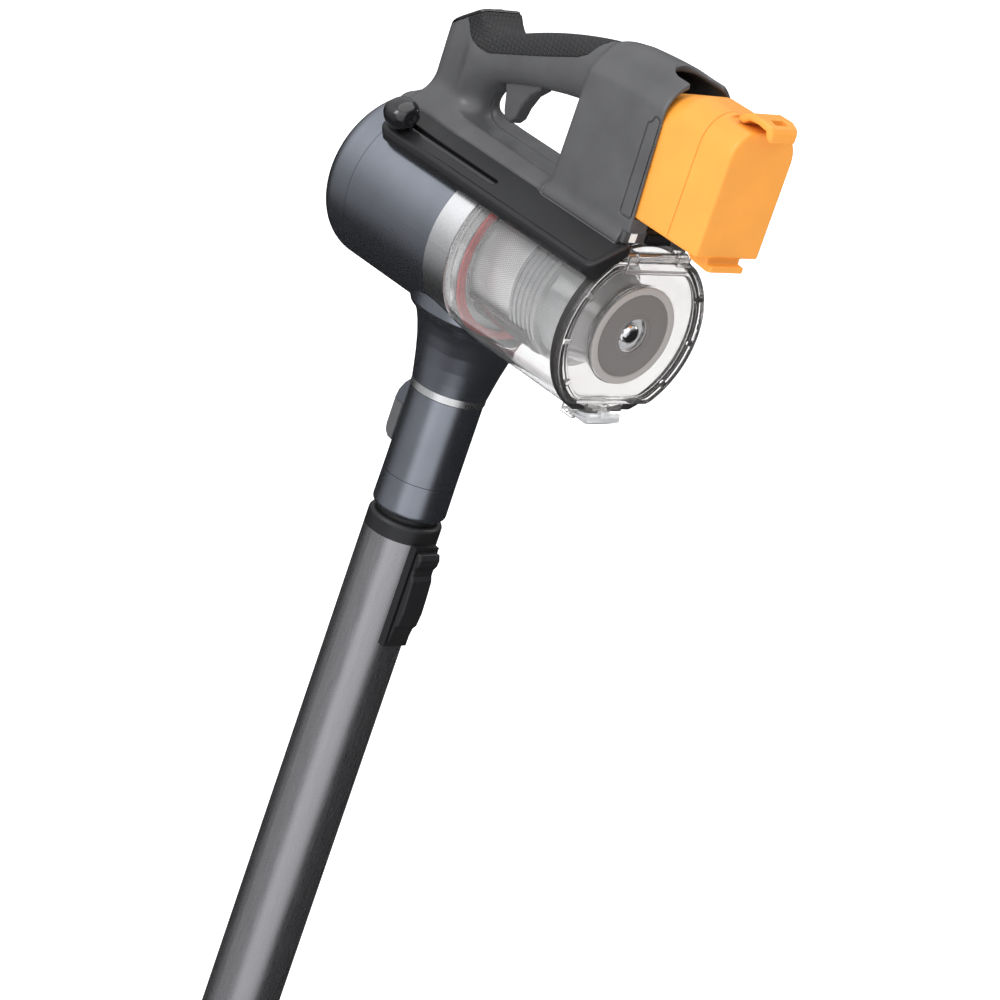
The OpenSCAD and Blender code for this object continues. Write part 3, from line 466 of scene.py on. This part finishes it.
def prism(d2, w, low, high, r=0.0):
    """A 2-D distance d2 extruded from low to high along w, edges rounded by r."""
    q0, q1 = d2 + r, np.abs(w - (low + high) / 2) - (high - low) / 2 + r
    return np.minimum(np.maximum(q0, q1), 0) + np.sqrt(np.maximum(q0, 0) ** 2 + np.maximum(q1, 0) ** 2) - r


def surface(field, low, high, step):
    """Vertices and quads of field = 0 by surface nets, then moved onto the field. Lengths in mm."""
    axes = [np.arange(low[i] - 2 * step, high[i] + 2.01 * step, step) for i in range(3)]
    f = field(np.meshgrid(*axes, indexing="ij"))
    sign = f < 0
    n = [s - 1 for s in f.shape]
    corner = lambda a, dx, dy, dz: a[dx:dx + n[0], dy:dy + n[1], dz:dz + n[2]]
    count = sum(corner(sign, *c).astype(np.int8) for c in np.ndindex(2, 2, 2))
    cells = np.argwhere((count > 0) & (count < 8))
    total = np.zeros((len(cells), 3))
    hits = np.zeros(len(cells))
    for axis in range(3):
        for c in np.ndindex(2, 2, 2):
            if c[axis]:
                continue
            end = np.array(c)
            end[axis] = 1
            va = f[tuple((cells + c).T)]
            vb = f[tuple((cells + end).T)]
            cut = (va < 0) != (vb < 0)
            t = np.where(cut, va / np.where(cut, va - vb, 1), 0)
            point = cells + np.array(c, float)
            point[:, axis] += t
            total += point * cut[:, None]
            hits += cut
    verts = total / hits[:, None] * step + np.array([a[0] for a in axes])
    number = np.full(n, -1, np.int64)
    number[tuple(cells.T)] = np.arange(len(cells))
    faces = []
    for axis in range(3):
        u, v = (axis + 1) % 3, (axis + 2) % 3
        first = [slice(0, s) for s in f.shape]
        second = [slice(0, s) for s in f.shape]
        first[axis], second[axis] = slice(0, n[axis]), slice(1, n[axis] + 1)
        flips = np.argwhere(sign[tuple(first)] != sign[tuple(second)])
        flips = flips[(flips[:, u] > 0) & (flips[:, v] > 0) & (flips[:, u] < n[u]) & (flips[:, v] < n[v])]
        quad = []
        for du, dv in ((-1, -1), (0, -1), (0, 0), (-1, 0)):
            c = flips.copy()
            c[:, u] += du
            c[:, v] += dv
            quad.append(number[tuple(c.T)])
        quad = np.array(quad).T
        outward = sign[tuple(flips.T)]
        faces.append(np.where(outward[:, None], quad, quad[:, ::-1]))
    for _ in range(SETTLES):
        value = field(list(verts.T))
        slope = []
        for along in np.eye(3) * PROBE:
            slope.append((field(list((verts + along).T)) - field(list((verts - along).T))) / (2 * PROBE))
        slope = np.stack(slope, 1)
        move = value[:, None] * slope / np.maximum((slope ** 2).sum(1), 0.25)[:, None]
        length = np.linalg.norm(move, axis=1, keepdims=True)
        verts -= move * np.minimum(1, LONGEST_MOVE * step / np.maximum(length, 1e-9))
    return verts, np.concatenate(faces)


def add_piece(obj, node=None, slot=None, body=None):
    """Puts a finished object in the scene: material, body, slot and the CAD node it stands for."""
    slot = slot or SLOT_OF[node]
    dress(obj, slot)
    if obj.name not in bpy.context.scene.collection.objects:
        bpy.context.scene.collection.objects.link(obj)
    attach(obj, body or BODY_OF[node])
    if node:
        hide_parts(node)
    return obj


def carve(name, field, low, high, step, **place):
    """An object from a distance field given in mm about the cyclone's axis."""
    verts, faces = surface(field, low, high, step)
    mesh = bpy.data.meshes.new(name)
    verts = verts + (0, 0, AXIS_H)
    mesh.from_pydata((verts * MM).tolist(), [], faces.tolist())
    mesh.polygons.foreach_set("use_smooth", [True] * len(mesh.polygons))
    mesh.update()
    return add_piece(bpy.data.objects.new(name, mesh), **place)


def inset(points, r):
    """The polygon, given anticlockwise, with every side moved inward by r."""
    pts = np.array(points, float)
    before = pts - np.roll(pts, 1, axis=0)
    after = np.roll(pts, -1, axis=0) - pts
    n0 = np.stack([-before[:, 1], before[:, 0]], 1) / np.linalg.norm(before, axis=1, keepdims=True)
    n1 = np.stack([-after[:, 1], after[:, 0]], 1) / np.linalg.norm(after, axis=1, keepdims=True)
    return pts + (n0 + n1) * (r / (1 + (n0 * n1).sum(1)))[:, None]


def rounded(u, v, points, r):
    """Distance to the polygon with its corners rounded by r."""
    return outline(u, v, inset(points, r)) - r


# ---------------------------------------------------------------- handle

BODY_GAP = 0.3
GRIP_W = 15.0
GRIP_SPINE = np.polyfit((-60, -35, -8, 25, 46.5, 60), (87, 99, 111.3, 120, 124.6, 127), 3)
POD = np.array((-69.0, BODY_R + 60))
TILT = math.radians(36)
BUTTONS = (-8, 8)
BAY_FRONT = 46.5
SADDLE_Y = (-80, 112.4)
HOUSING_X = 27
ROOF_CREST = BODY_R + 97.8
ROOF_CREST_Y = 105
ROOF_SPRING = BODY_R + 62.5


def pod_height(p):
    """Distance above the tilted face of the control pod."""
    return -math.sin(TILT) * (p[1] - POD[0]) + math.cos(TILT) * (p[2] - POD[1])


def pod_along(p):
    """Distance up the tilted face of the control pod, from its middle."""
    return math.cos(TILT) * (p[1] - POD[0]) + math.sin(TILT) * (p[2] - POD[1])


def post(p):
    """Front post, which widens upward and leans into the pod."""
    w = 13.4 + 2.2 * np.clip((p[2] - 70) / 30, 0, 1)
    y = np.clip(p[1], -86.4 + w, -41 - w)
    d = np.hypot(p[0], p[1] - y) - w
    return smax(d, 0.676 * (p[1] + 49) + 0.737 * (p[2] - 115), 5)


def grip(p):
    """Grip along its curved spine, a little squarer than an ellipse in section."""
    y = np.clip(p[1], -60, 60)
    centre = np.polyval(GRIP_SPINE, y)
    tall = 17.3 + 0.047 * y
    q = (np.abs(p[0] / GRIP_W) ** 2.3 + np.abs((p[2] - centre) / tall) ** 2.3) ** (1 / 2.3)
    return smax((q - 1) * GRIP_W * 0.95, -(p[1] + 52), 4)


def saddle(p):
    """Base that sits on the body and carries post and housing."""
    x, z = HOUSING_X, BODY_R
    d2 = rounded(p[0], p[2], [(-x, z - 14), (x, z - 14), (x, z + 1.5), (18, z + 7.6), (-18, z + 7.6),
                              (-x, z + 1.5)], 2.5)
    return prism(d2, p[1], *SADDLE_Y, 2)


def roof(y):
    """Height of the crowned roof of the battery housing."""
    return ROOF_CREST - 0.00195 * (np.clip(y, 40, 120) - ROOF_CREST_Y) ** 2


def hood(p):
    """Outside of the battery housing, with its crowned roof."""
    rise = roof(p[1]) - ROOF_SPRING
    u = np.abs(p[0]) / 28.6
    v = np.maximum(p[2] - ROOF_SPRING, 0) / rise
    dome = ((u ** 2.5 + v ** 2.5) ** 0.4 - 1) * HOUSING_X
    d = smax(dome, np.abs(p[0]) - HOUSING_X, 0.5)
    d = smax(d, BODY_R - 14 - p[2], 1.5)
    rear = p[1] - (116.9 - 0.0645 * (p[2] - BODY_R - 16.5))
    return smax(smax(d, BAY_FRONT - p[1], 5), rear, 1.2)


def upper_body(p):
    """Post, grip, saddle and housing as one blended form, above the body cylinder."""
    foot = brick(p, (-25, -95, BODY_R - 10), (25, -25, BODY_R + 3.5), 9)
    base = smin(saddle(p), foot, 6)
    d = smin(base, post(p), 13)
    d = smin(d, grip(p), 13)
    d = smin(d, hood(p), 8)
    return smax(d, BODY_R + BODY_GAP - np.hypot(p[0], p[2]), 0.4)


def handle_field(side):
    """One handle shell: side is 1 for the right one and -1 for the left one."""
    def field(p):
        body = upper_body(p)
        d = smax(body, p[1] - BAY_FRONT, 0.3)
        d = np.minimum(d, smax(smax(body, p[2] - BODY_R + 0.4, 0.2), p[1] - SADDLE_Y[1], 0.3))
        d = smax(d, pod_height(p) + 2.2, 0.3)
        # wells that the buttons sink into
        for shift in BUTTONS:
            well = np.maximum(np.hypot(p[0], pod_along(p) - shift) - 6.2, -pod_height(p) - 9)
            d = smax(d, -well, 0.3)
        # pocket of the trigger
        d = smax(d, -brick(p, (-5.8, -34, BODY_R + 10), (5.8, 0.5, BODY_R + 52), 1.5), 0.8)
        return np.maximum(d, 0.02 - side * p[0])
    return field


for side_name, side, x_low, x_high in (("right", 1, 0, 32), ("left", -1, -32, 0)):
    carve("handle_shell_" + side_name, handle_field(side), (x_low, -99, BODY_R - 14),
          (x_high, 113, BODY_R + 98), 0.9, node="handle_" + side_name)

# (y, height) of the lower edge of the rubber pad
PAD_EDGE = ((-70, 128), (-66, 112), (-60, 105), (-55, 102), (-48, 100.3), (-41, 100), (-1, 115.4),
            (26, 126.7), (32, 131), (36, 140))


def pad_field(p):
    """Rubber pad: a skin over the grip and the back of the pod, above a curved edge."""
    skin = upper_body(p)
    edge = np.interp(p[1], *zip(*PAD_EDGE))
    above = (edge - p[2]) * 0.85
    d = smax(smax(skin - 0.35, -(skin + 1.4), 0.2), above, 0.5)
    d = smax(d, p[1] - 37, 0.5)
    return smax(d, pod_height(p) + 2.3, 0.2)


carve("grip_rubber_pad", pad_field, (-20, -74, BODY_R + 44), (20, 40, BODY_R + 92), 0.8, node="grip_pad")


def panel_field(p):
    """Glossy control panel on the pod, with wells for its two buttons."""
    h = pod_height(p)
    d = smax(smax(upper_body(p) + 0.1, h, 1.0), -(h + 2.1), 0.2)
    for shift in BUTTONS:
        d = smax(d, 5.8 - np.hypot(p[0], pod_along(p) - shift), 0.4)
    return d


carve("control_panel_top", panel_field, (-19, -92, BODY_R + 40), (19, -46, BODY_R + 80), 0.6,
      node="control_panel")


def trigger_field(p):
    z = BODY_R
    points = [(-33, z + 45), (-32.8, z + 36), (-28.8, z + 29), (-26, z + 20), (-23.4, z + 15.4), (-18.2, z + 14.8),
              (-15, z + 18.6), (-13.4, z + 26), (-9.5, z + 35), (-3.4, z + 41), (-2.6, z + 45)]
    return prism(rounded(p[1], p[2], points, 1.6), p[0], -5.4, 5.4, 2.2)


carve("finger_trigger", trigger_field, (-7, -35, BODY_R + 14), (7, 0, BODY_R + 47), 0.5, node="trigger")


def strip_outline(p):
    """The trim strip along each rear edge of the housing, seen from the side."""
    z = BODY_R
    return rounded(p[1], p[2], [(106.4, z + 15.5), (114.6, z + 15.5), (111.8, z + 72.5), (108.4, z + 73.5),
                                (107.2, z + 70), (104.6, z + 68)], 1.2)


BAY_CORNER = 19
BAY_X = 25.15
BAY_TOP = BODY_R + 93.8
BAY_FLOOR = BODY_R + 15.9
NOTCH_R = 12.6
NOTCH_Y = 103.5


def housing_field(p):
    """Battery housing: a thin hood, open at the rear, with a notch in its roof."""
    d = smax(upper_body(p), BAY_FRONT + 0.05 - p[1], 0.3)
    d = smax(d, BODY_R - 0.3 - p[2], 0.2)
    d = smax(d, -np.maximum(SADDLE_Y[1] - p[1], p[2] - BODY_R - 7.7), 0.3)
    # bay of the battery
    ceiling = np.minimum(BAY_TOP, roof(p[1]) - 1 - 4.5 * np.clip((75 - p[1]) / 25, 0, 1))
    qx, qz = np.abs(p[0]) - BAY_X + BAY_CORNER, p[2] - ceiling + BAY_CORNER
    bay = np.hypot(np.maximum(qx, 0), np.maximum(qz, 0)) + np.minimum(np.maximum(qx, qz), 0) - BAY_CORNER
    bay = np.maximum(np.maximum(bay, BAY_FLOOR - p[2]), 48.7 - p[1])
    d = smax(d, -bay, 0.5)
    # finger notch in the roof, and the notch for the pack's lower catch
    notch = np.hypot(p[0], np.minimum(p[1] - NOTCH_Y, 0)) - NOTCH_R
    d = smax(d, -np.maximum(notch, BODY_R + 76 - p[2]), 2.2)
    d = smax(d, -np.maximum(np.maximum(np.abs(p[0]) - 13.2, 97.5 - p[1]), p[2] - BODY_R - 24), 0.6)
    # seat of the strips along the rear edges
    return smax(d, -np.maximum(strip_outline(p) - 1.0, 25.9 - np.abs(p[0])), 0.15)


carve("battery_housing_shell", housing_field, (-28, 44, BODY_R - 2), (28, 119, BODY_R + 99), 0.62,
      node="battery_housing")


def strip_field(p):
    return prism(strip_outline(p), np.abs(p[0]), 25.7, 26.9, 0.35)


for side_name, x_low, x_high in (("right", 25.2, 28.3), ("left", -28.3, -25.2)):
    carve("housing_side_strip_" + side_name, strip_field, (x_low, 104, BODY_R + 14), (x_high, 117, BODY_R + 75),
          0.4, slot="dark_plastic", body=BODY_OF["battery_housing"])

# ---------------------------------------------------------------- battery

BATT_X, BATT_LOW, BATT_TOP = 24.8, BODY_R + 16.2, BODY_R + 93.4
BATT_Y0, BATT_SEAM, BATT_Y1 = 100.0, 143.0, 168.0


def pack_section(p):
    """Section of the battery pack: flat sides, domed top corners and tight lower ones."""
    r = np.where(p[2] > BATT_LOW + 30, 19.5, 2.0)
    qx = np.abs(p[0]) - BATT_X + r
    qz = np.abs(p[2] - (BATT_LOW + BATT_TOP) / 2) - (BATT_TOP - BATT_LOW) / 2 + r
    return np.hypot(np.maximum(qx, 0), np.maximum(qz, 0)) + np.minimum(np.maximum(qx, qz), 0) - r


def case_field(p):
    """Front of the pack, with a lead-in slope that follows the roof of the bay."""
    drop = np.clip(8.2 - 0.36 * (p[1] - BATT_Y0), 0, 9) * np.clip((p[2] - BATT_LOW - 30) / 15, 0, 1)
    q = (p[0], p[1], p[2] + drop)
    return smax(prism(pack_section(q), p[1], BATT_Y0, BATT_SEAM - 0.12, 0.4), BATT_Y0 - p[1], 2)


carve("battery_case_shell", case_field, (-26, 98, BATT_LOW - 2), (26, 145, BATT_TOP + 2), 0.9, node="battery_case")


def cap_field(p):
    """Rear of the pack, with the shelf of the clip and the lower catch."""
    y, z = BATT_Y1, BATT_LOW
    d = prism(pack_section(p), p[1], BATT_SEAM + 0.12, BATT_Y1 + 3, 0.4)
    d = smax(d, p[1] - BATT_Y1, 2.6)
    # shallow shelf in the top, from which the clip rises
    shelf = np.maximum(np.maximum(np.abs(p[0]) - 14.5, BATT_Y1 - 21 - p[1]), BATT_TOP - 2.4 - p[2])
    d = smax(d, -shelf, 1.2)
    tail = [(y - 18, z + 2), (y - 18, z - 4), (y - 14, z - 6.6), (y - 1, z - 7.8), (y + 3, z - 7), (y + 3, z - 3.4),
            (y - 1.5, z - 3.2), (y - 2.5, z + 2)]
    catch = prism(rounded(p[1], p[2], tail, 0.7), p[0], -13, 13, 1.2)
    return smin(d, catch, 1.0)


carve("battery_cap_shell", cap_field, (-26, 141, BATT_LOW - 10), (26, 173, BATT_TOP + 2), 0.8, node="battery_end_cap")


def clip_field(p):
    """Clip lever: a shelf that bends down over the rear edge, with a square hole."""
    y, z = BATT_Y1, BATT_TOP
    points = [(y - 16.5, z - 1.6), (y - 12, z - 1.6), (y - 8, z + 1.6), (y - 1, z + 2.2), (y + 4.6, z + 1.2),
              (y + 6.4, z - 2.6), (y + 8.6, z - 4.2), (y + 9.8, z - 3.2), (y + 9.8, z + 1.6), (y + 8, z + 4.6),
              (y + 2, z + 6.2), (y - 8, z + 6.2), (y - 13, z + 4.2), (y - 16.5, z + 1)]
    d = prism(rounded(p[1], p[2], points, 0.7), p[0], -12, 12, 1.6)
    d = smax(d, (p[1] - y - 2) * 0.3 + np.abs(p[0]) - 12.2, 2.0)
    return smax(d, -brick(p, (-5.4, y + 0.4, z - 8), (5.4, y + 5.4, z + 12), 1.2), 0.6)


carve("battery_clip_lever", clip_field, (-15, 150, BATT_TOP - 7), (15, 180, BATT_TOP + 8), 0.55, node="battery_clip")

# ---------------------------------------------------------------- lever rail

RAIL_Y = (-73, 121)
RAIL_RIM = 4
RAIL_SLOT = (-68, 18)
RAIL_SLOT_R = 2.6
# the rail's face: its tilt, and the point it is measured from, clear of the body
FACE = math.radians(62)
RAIL_TURN = math.radians(49.7)
RAIL_AT = ((BODY_R + 7.8) * math.cos(RAIL_TURN), (BODY_R + 7.8) * math.sin(RAIL_TURN))


def rail_axes(p):
    """(out of the rail's face, up along it)"""
    x, z = p[0] - RAIL_AT[0], p[2] - RAIL_AT[1]
    return x * math.cos(FACE) + z * math.sin(FACE), -x * math.sin(FACE) + z * math.cos(FACE)


def rail_field(p):
    """Black rail on the flank, with a shallow tray in its face, inside a raised rim."""
    out, up = rail_axes(p)
    z = RAIL_AT[1]
    points = [(24, z - 16), (42.6, BODY_R * 0.6), (48.4, z - 12.7), (50.2, z - 9.5), (50, z - 5.6), (47.6, z - 3.6),
              (27, z + 7.4), (24, z + 7.4)]
    y0, y1 = RAIL_Y
    # ends rounded as seen square to the face
    plan = rounded(p[1], up, [(y0, -14.5), (y1, -14.5), (y1, 24), (y0, 24)], 8.5)
    d = smax(rounded(p[0], p[2], points, 1.2), plan, 1.2)
    d = smax(d, BODY_R + 0.9 - np.hypot(p[0], p[2]), 0.4)
    y0, y1 = y0 + RAIL_RIM, y1 - RAIL_RIM
    tray = rounded(p[1], up, [(y0, -9.6), (y1, -9.6), (y1, 20), (y0, 20)], 4)
    d = smax(d, -np.maximum(tray, 0.0 - out), 0.5)
    # slot of the knob's stem
    middle, half = (RAIL_SLOT[0] + RAIL_SLOT[1]) / 2, (RAIL_SLOT[1] - RAIL_SLOT[0]) / 2
    slot = np.hypot(np.maximum(np.abs(p[1] - middle) - half, 0), up) - RAIL_SLOT_R
    d = smax(d, -np.maximum(slot, -3.2 - out), 0.4)
    # slot behind the face for the arm that drives the wiper
    d = smax(d, -brick((out, p[1], up), (-16, 14, -2.6), (-1, 103, 2.6), 0.2), 0.2)
    # channel of the carriage
    return smax(d, -brick((out, p[1], up), (-5.4, -73, -5), (-1.8, 108, 5), 0.3), 0.3)


carve("lever_rail_cover", rail_field, (22, -80, 28), (52, 123, 60), 0.75, node="lever_rail")


# the knob: its middle and half sizes out of the face, along y and up the face
KNOB_AT = (8.8, -61.8, -3.3)
KNOB_SIZE = (8.1, 10.0, 9.9)


def lever_field(p):
    """Knob, stem, carriage and the arm that reaches into the bin."""
    out, up = rail_axes(p)
    q = (out, p[1], up)
    terms = [np.abs((c - middle) / half) ** 2.5 for c, middle, half in zip(q, KNOB_AT, KNOB_SIZE)]
    knob = (sum(terms) ** 0.4 - 1) * KNOB_SIZE[0]
    # the finger dish on its rear shoulder
    knob = smax(knob, 8 - np.sqrt((out - 9) ** 2 + (p[1] + 45.6) ** 2 + (up + 3.3) ** 2), 1.2)
    stem = brick(q, (-3, -68, -2.3), (2, -60, 2.3), 0.5)
    carriage = brick(q, (-4.9, -72, -4.5), (-2.1, 25, 4.5), 0.4)
    arm = brick(q, (-14.5, 21, -2), (-2.1, 24, 2), 0.3)
    return np.minimum(smin(knob, stem, 0.8), np.minimum(carriage, arm))


carve("compactor_knob", lever_field, (24, -78, 32), (58, 30, 66), 0.45, node="compactor_lever")

# ---------------------------------------------------------------- lid

LID_Y = 117.3
LID_R = BODY_R + 0.4
LID_FLATS = (-43.0, 43.0)
LID_INNER_FLATS = (-39.4, 38)
# (y, z) of the hinge pin, and the angles of the clips over the rim
HINGE = (118, 46.5)
RIM_CLIPS = (28, -5, -38, 152, 185, 218)


def lid_field(p):
    """Clear lid: a disc cut flat above and below, with two rims, clips, hinge and a lip."""
    x, y, z = p
    far = np.hypot(x, z)
    edge = smax(far - LID_R, np.maximum(z - LID_FLATS[1], LID_FLATS[0] - z), 1.6)
    inner = smax(far - 46.6, np.maximum(z - LID_INNER_FLATS[1], LID_INNER_FLATS[0] - z), 2.5)
    d = prism(edge, y, LID_Y, LID_Y + 2.3, 0.3)
    d = np.minimum(d, prism(np.abs(edge + 1.7) - 1.3, y, LID_Y, LID_Y + 4.3, 0.5))
    d = np.minimum(d, prism(np.abs(inner) - 0.8, y, LID_Y + 0.5, LID_Y + 3.6, 0.4))
    d = smin(d, prism(far - 30.2, y, LID_Y, LID_Y + 3.1, 0.5), 0.4)
    # six clips over the rim, a hinge flange, the knuckle and a lip for the latch
    for a in RIM_CLIPS:
        c, s = math.cos(math.radians(a)), math.sin(math.radians(a))
        u, v = x * c + z * s, -x * s + z * c
        d = np.minimum(d, brick((u, y, v), (45.8, LID_Y + 2, -1.6), (51.9, LID_Y + 4.8, 1.6), 0.5))
    d = np.minimum(d, brick(p, (-24, LID_Y + 4.0, 37.5), (24, LID_Y + 5.4, 48.5), 0.6))
    d = np.minimum(d, np.maximum(np.hypot(y - HINGE[0], z - HINGE[1]) - 3, np.abs(x) - 15.4))
    d = np.minimum(d, brick(p, (-15, LID_Y, 40), (15, LID_Y + 4.2, 46), 0.5))
    d = np.minimum(d, brick(p, (-14, LID_Y + 0.2, -48.2), (14, LID_Y + 2.4, -42), 0.4))
    d = smax(d, 10.1 - far, 0.3)
    return smax(d, 1.65 - np.hypot(y - HINGE[0], z - HINGE[1]), 0.2)


carve("lid_clear_cover", lid_field, (-54, 115, -54), (54, 124, 51), 0.62, node="bin_lid")


def disc_field(p):
    """Sealing disc with a paler rim, round the cup of the knob."""
    far = np.hypot(p[0], p[2])
    d = prism(far - 25.2, p[1], LID_Y + 3.3, LID_Y + 4.3, 0.3)
    d = smin(d, prism(np.abs(far - 27.6) - 2.2, p[1], LID_Y + 3.3, LID_Y + 5.1, 0.7), 0.4)
    d = smin(d, prism(np.abs(far - 11.2) - 1.0, p[1], LID_Y + 3.3, LID_Y + 4.9, 0.4), 0.3)
    return smax(d, 10.3 - far, 0.2)


carve("lid_sealing_disc", disc_field, (-31, 119.5, -31), (31, 123.5, 31), 0.5, node="lid_disc")


LATCH_X = 12.6
LATCH_PIN = (106.5, -54)


def latch_field(p):
    """Clear latch under the lid, bent up over its lip."""
    points = [(99.6, -54.7), (102.5, -57.2), (117.5, -57.2), (122.8, -53.6), (121.8, -48.9), (120, -48.9),
              (119.2, -51.8), (114.5, -52.9), (104.5, -52.9), (100.5, -54.2)]
    d = prism(rounded(p[1], p[2], points, 0.5), p[0], -LATCH_X, LATCH_X, 0.8)
    d = smax(d, np.abs(p[0]) - LATCH_X + np.maximum(0, LATCH_PIN[1] - p[2]) * 1.2, 1.0)
    d = np.minimum(d, brick(p, (-3, 118.2, -51.8), (3, 123.2, -47.5), 0.6))
    return smax(d, 1.45 - np.hypot(p[1] - LATCH_PIN[0], p[2] - LATCH_PIN[1]), 0.1)


carve("lid_latch_clip", latch_field, (-14, 98, -59), (14, 125, -46), 0.42, node="lid_latch")


def label_field(p):
    return brick(p, (17.6, 115.3, BODY_R + 1.4), (22.6, 116.1, BODY_R + 7.0), 0.3)


carve("blank_label", label_field, (16, 114.5, BODY_R + 0.5), (24, 117, BODY_R + 8), 0.35,
      slot="filter_white", body=BODY_OF["rear_bulkhead"])

# ---------------------------------------------------------------- seal, lock, seams and smoky lower sheet

SEAL_R = 46.2
SEAL_LIP_R = 48.6


def seal_field(p):
    """Ring that wipes the bin, with a bead round its edge."""
    far = np.hypot(p[0], p[2])
    ring = np.maximum(np.abs(far - SEAL_R) - 2.2, np.abs(p[1] - 26) - 1.2)
    lip = np.hypot(far - SEAL_LIP_R, p[1] - 26.6) - 0.9
    return smin(ring, lip, 0.6)


carve("wiper_seal", seal_field, (-51, 23, -51), (51, 30, 51), 0.8, node="compactor_seal")

TUBE_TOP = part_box("outer_tube")[1][2] / MM - AXIS_H


def lock_field(p):
    """Length lock: a wavy thumb slider on a short tongue."""
    z = TUBE_TOP
    points = [(25.7, z - 1.5), (25.7, z - 61), (26.6, z - 61), (28.2, z - 51.5), (30.3, z - 48.5), (31.3, z - 40),
              (30.9, z - 29), (30.2, z - 19), (28.8, z - 16), (28.7, z - 12.5), (30.6, z - 9), (31.0, z - 5),
              (29.4, z - 1.5)]
    d = prism(rounded(p[1], p[2], points, 0.45), p[0], -8.2, 8.2, 1.6)
    tongue = brick(p, (-3.9, 24.1, z - 48), (3.9, 26.5, z - 14), 0.3)
    return np.minimum(d, tongue)


slider = carve("length_lock_slider", lock_field, (-9, 23, TUBE_TOP - 63), (9, 33, TUBE_TOP), 0.5,
               node="length_lock")
dress(slider, "black_plastic")

SEAM_WIDTH = 0.35
SEAM_STEPS = 160


def seam_ring(name, radius, height, node):
    """A hairline of shadow round the collar, where two mouldings meet."""
    mesh = bpy.data.meshes.new(name)
    steps, half = SEAM_STEPS, SEAM_WIDTH / 2
    profile = [(radius - 0.4, -half), (radius + 0.03, -half), (radius + 0.03, half), (radius - 0.4, half)]
    verts = []
    for i in range(steps):
        a = 2 * math.pi * i / steps
        for r, w in profile:
            verts.append((r * math.cos(a) * MM, r * math.sin(a) * MM, (AXIS_H + height + w) * MM))
    n = len(profile)
    faces = []
    for i in range(steps):
        here, there = i * n, (i + 1) % steps * n
        for k in range(n):
            after = (k + 1) % n
            faces.append((there + k, there + after, here + after, here + k))
    mesh.from_pydata(verts, [], faces)
    mesh.update()
    add_piece(bpy.data.objects.new(name, mesh), slot="black_plastic", body=BODY_OF[node])


seam_ring("collar_seam", 22.3, -148.5, "inlet_collar")
seam_ring("trim_seam", 22.9, -95.1, "inlet_collar")

# a dark brown translucent curved sheet inside the bin, darker over the lower part of the mesh filter
LOWER_SHEET_R = 37.8


def lower_sheet_field(p):
    """Smoky brown curved sheet hugging the underside of the mesh filter, darkening the lower part of the mesh seen
    through the bin.
    """
    d = np.abs(np.hypot(p[0], p[2]) - LOWER_SHEET_R) - 1.2
    # keeps the part of the ring from 35 to 115 degrees below the horizontal
    d = smax(d, p[2] * 0.82 + p[0] * 0.57, 0.3)
    d = smax(d, p[2] * 0.42 - p[0] * 0.91, 0.3)
    return smax(smax(d, 18.6 - p[1], 0.3), p[1] - 70 - 0.3 * (p[2] + 37), 0.3)


lower_sheet = carve("smoky_lower_sheet", lower_sheet_field, (-20, 18, -40), (34, 72, -18), 0.8, slot="lid_grey",
              body=BODY_OF["mesh_filter"])
dress(lower_sheet, "smoke_brown")

for name, node in NODES.items():
    dress(node, FINISH_OF.get(name, SLOT_OF[name]))

# ---------------------------------------------------------------- floor


FLOOR_HALF = 14
FLOOR_GLOW = 0.42


def build_floor():
    mesh = bpy.data.meshes.new("floor")
    b = bmesh.new()
    bmesh.ops.create_grid(b, x_segments=24, y_segments=24, size=FLOOR_HALF)
    b.to_mesh(mesh)
    b.free()
    s = Shader("floor")
    s.colour(s.ramp(s.noise(0.8, 3), [(0.3, (0.93, 0.93, 0.935)), (0.7, (0.96, 0.96, 0.965))]))
    s.rough(s.span(s.noise(20, 4), 0.7, 0.85))
    s.set(Emission_Color=(1, 1, 1, 1), Emission_Strength=FLOOR_GLOW)
    mesh.materials.append(s.mat)
    floor = bpy.data.objects.new("floor", mesh)
    # the floor lights the object softly but isn't mirrored in it
    floor.visible_glossy = False
    bpy.context.scene.collection.objects.link(floor)


build_floor()
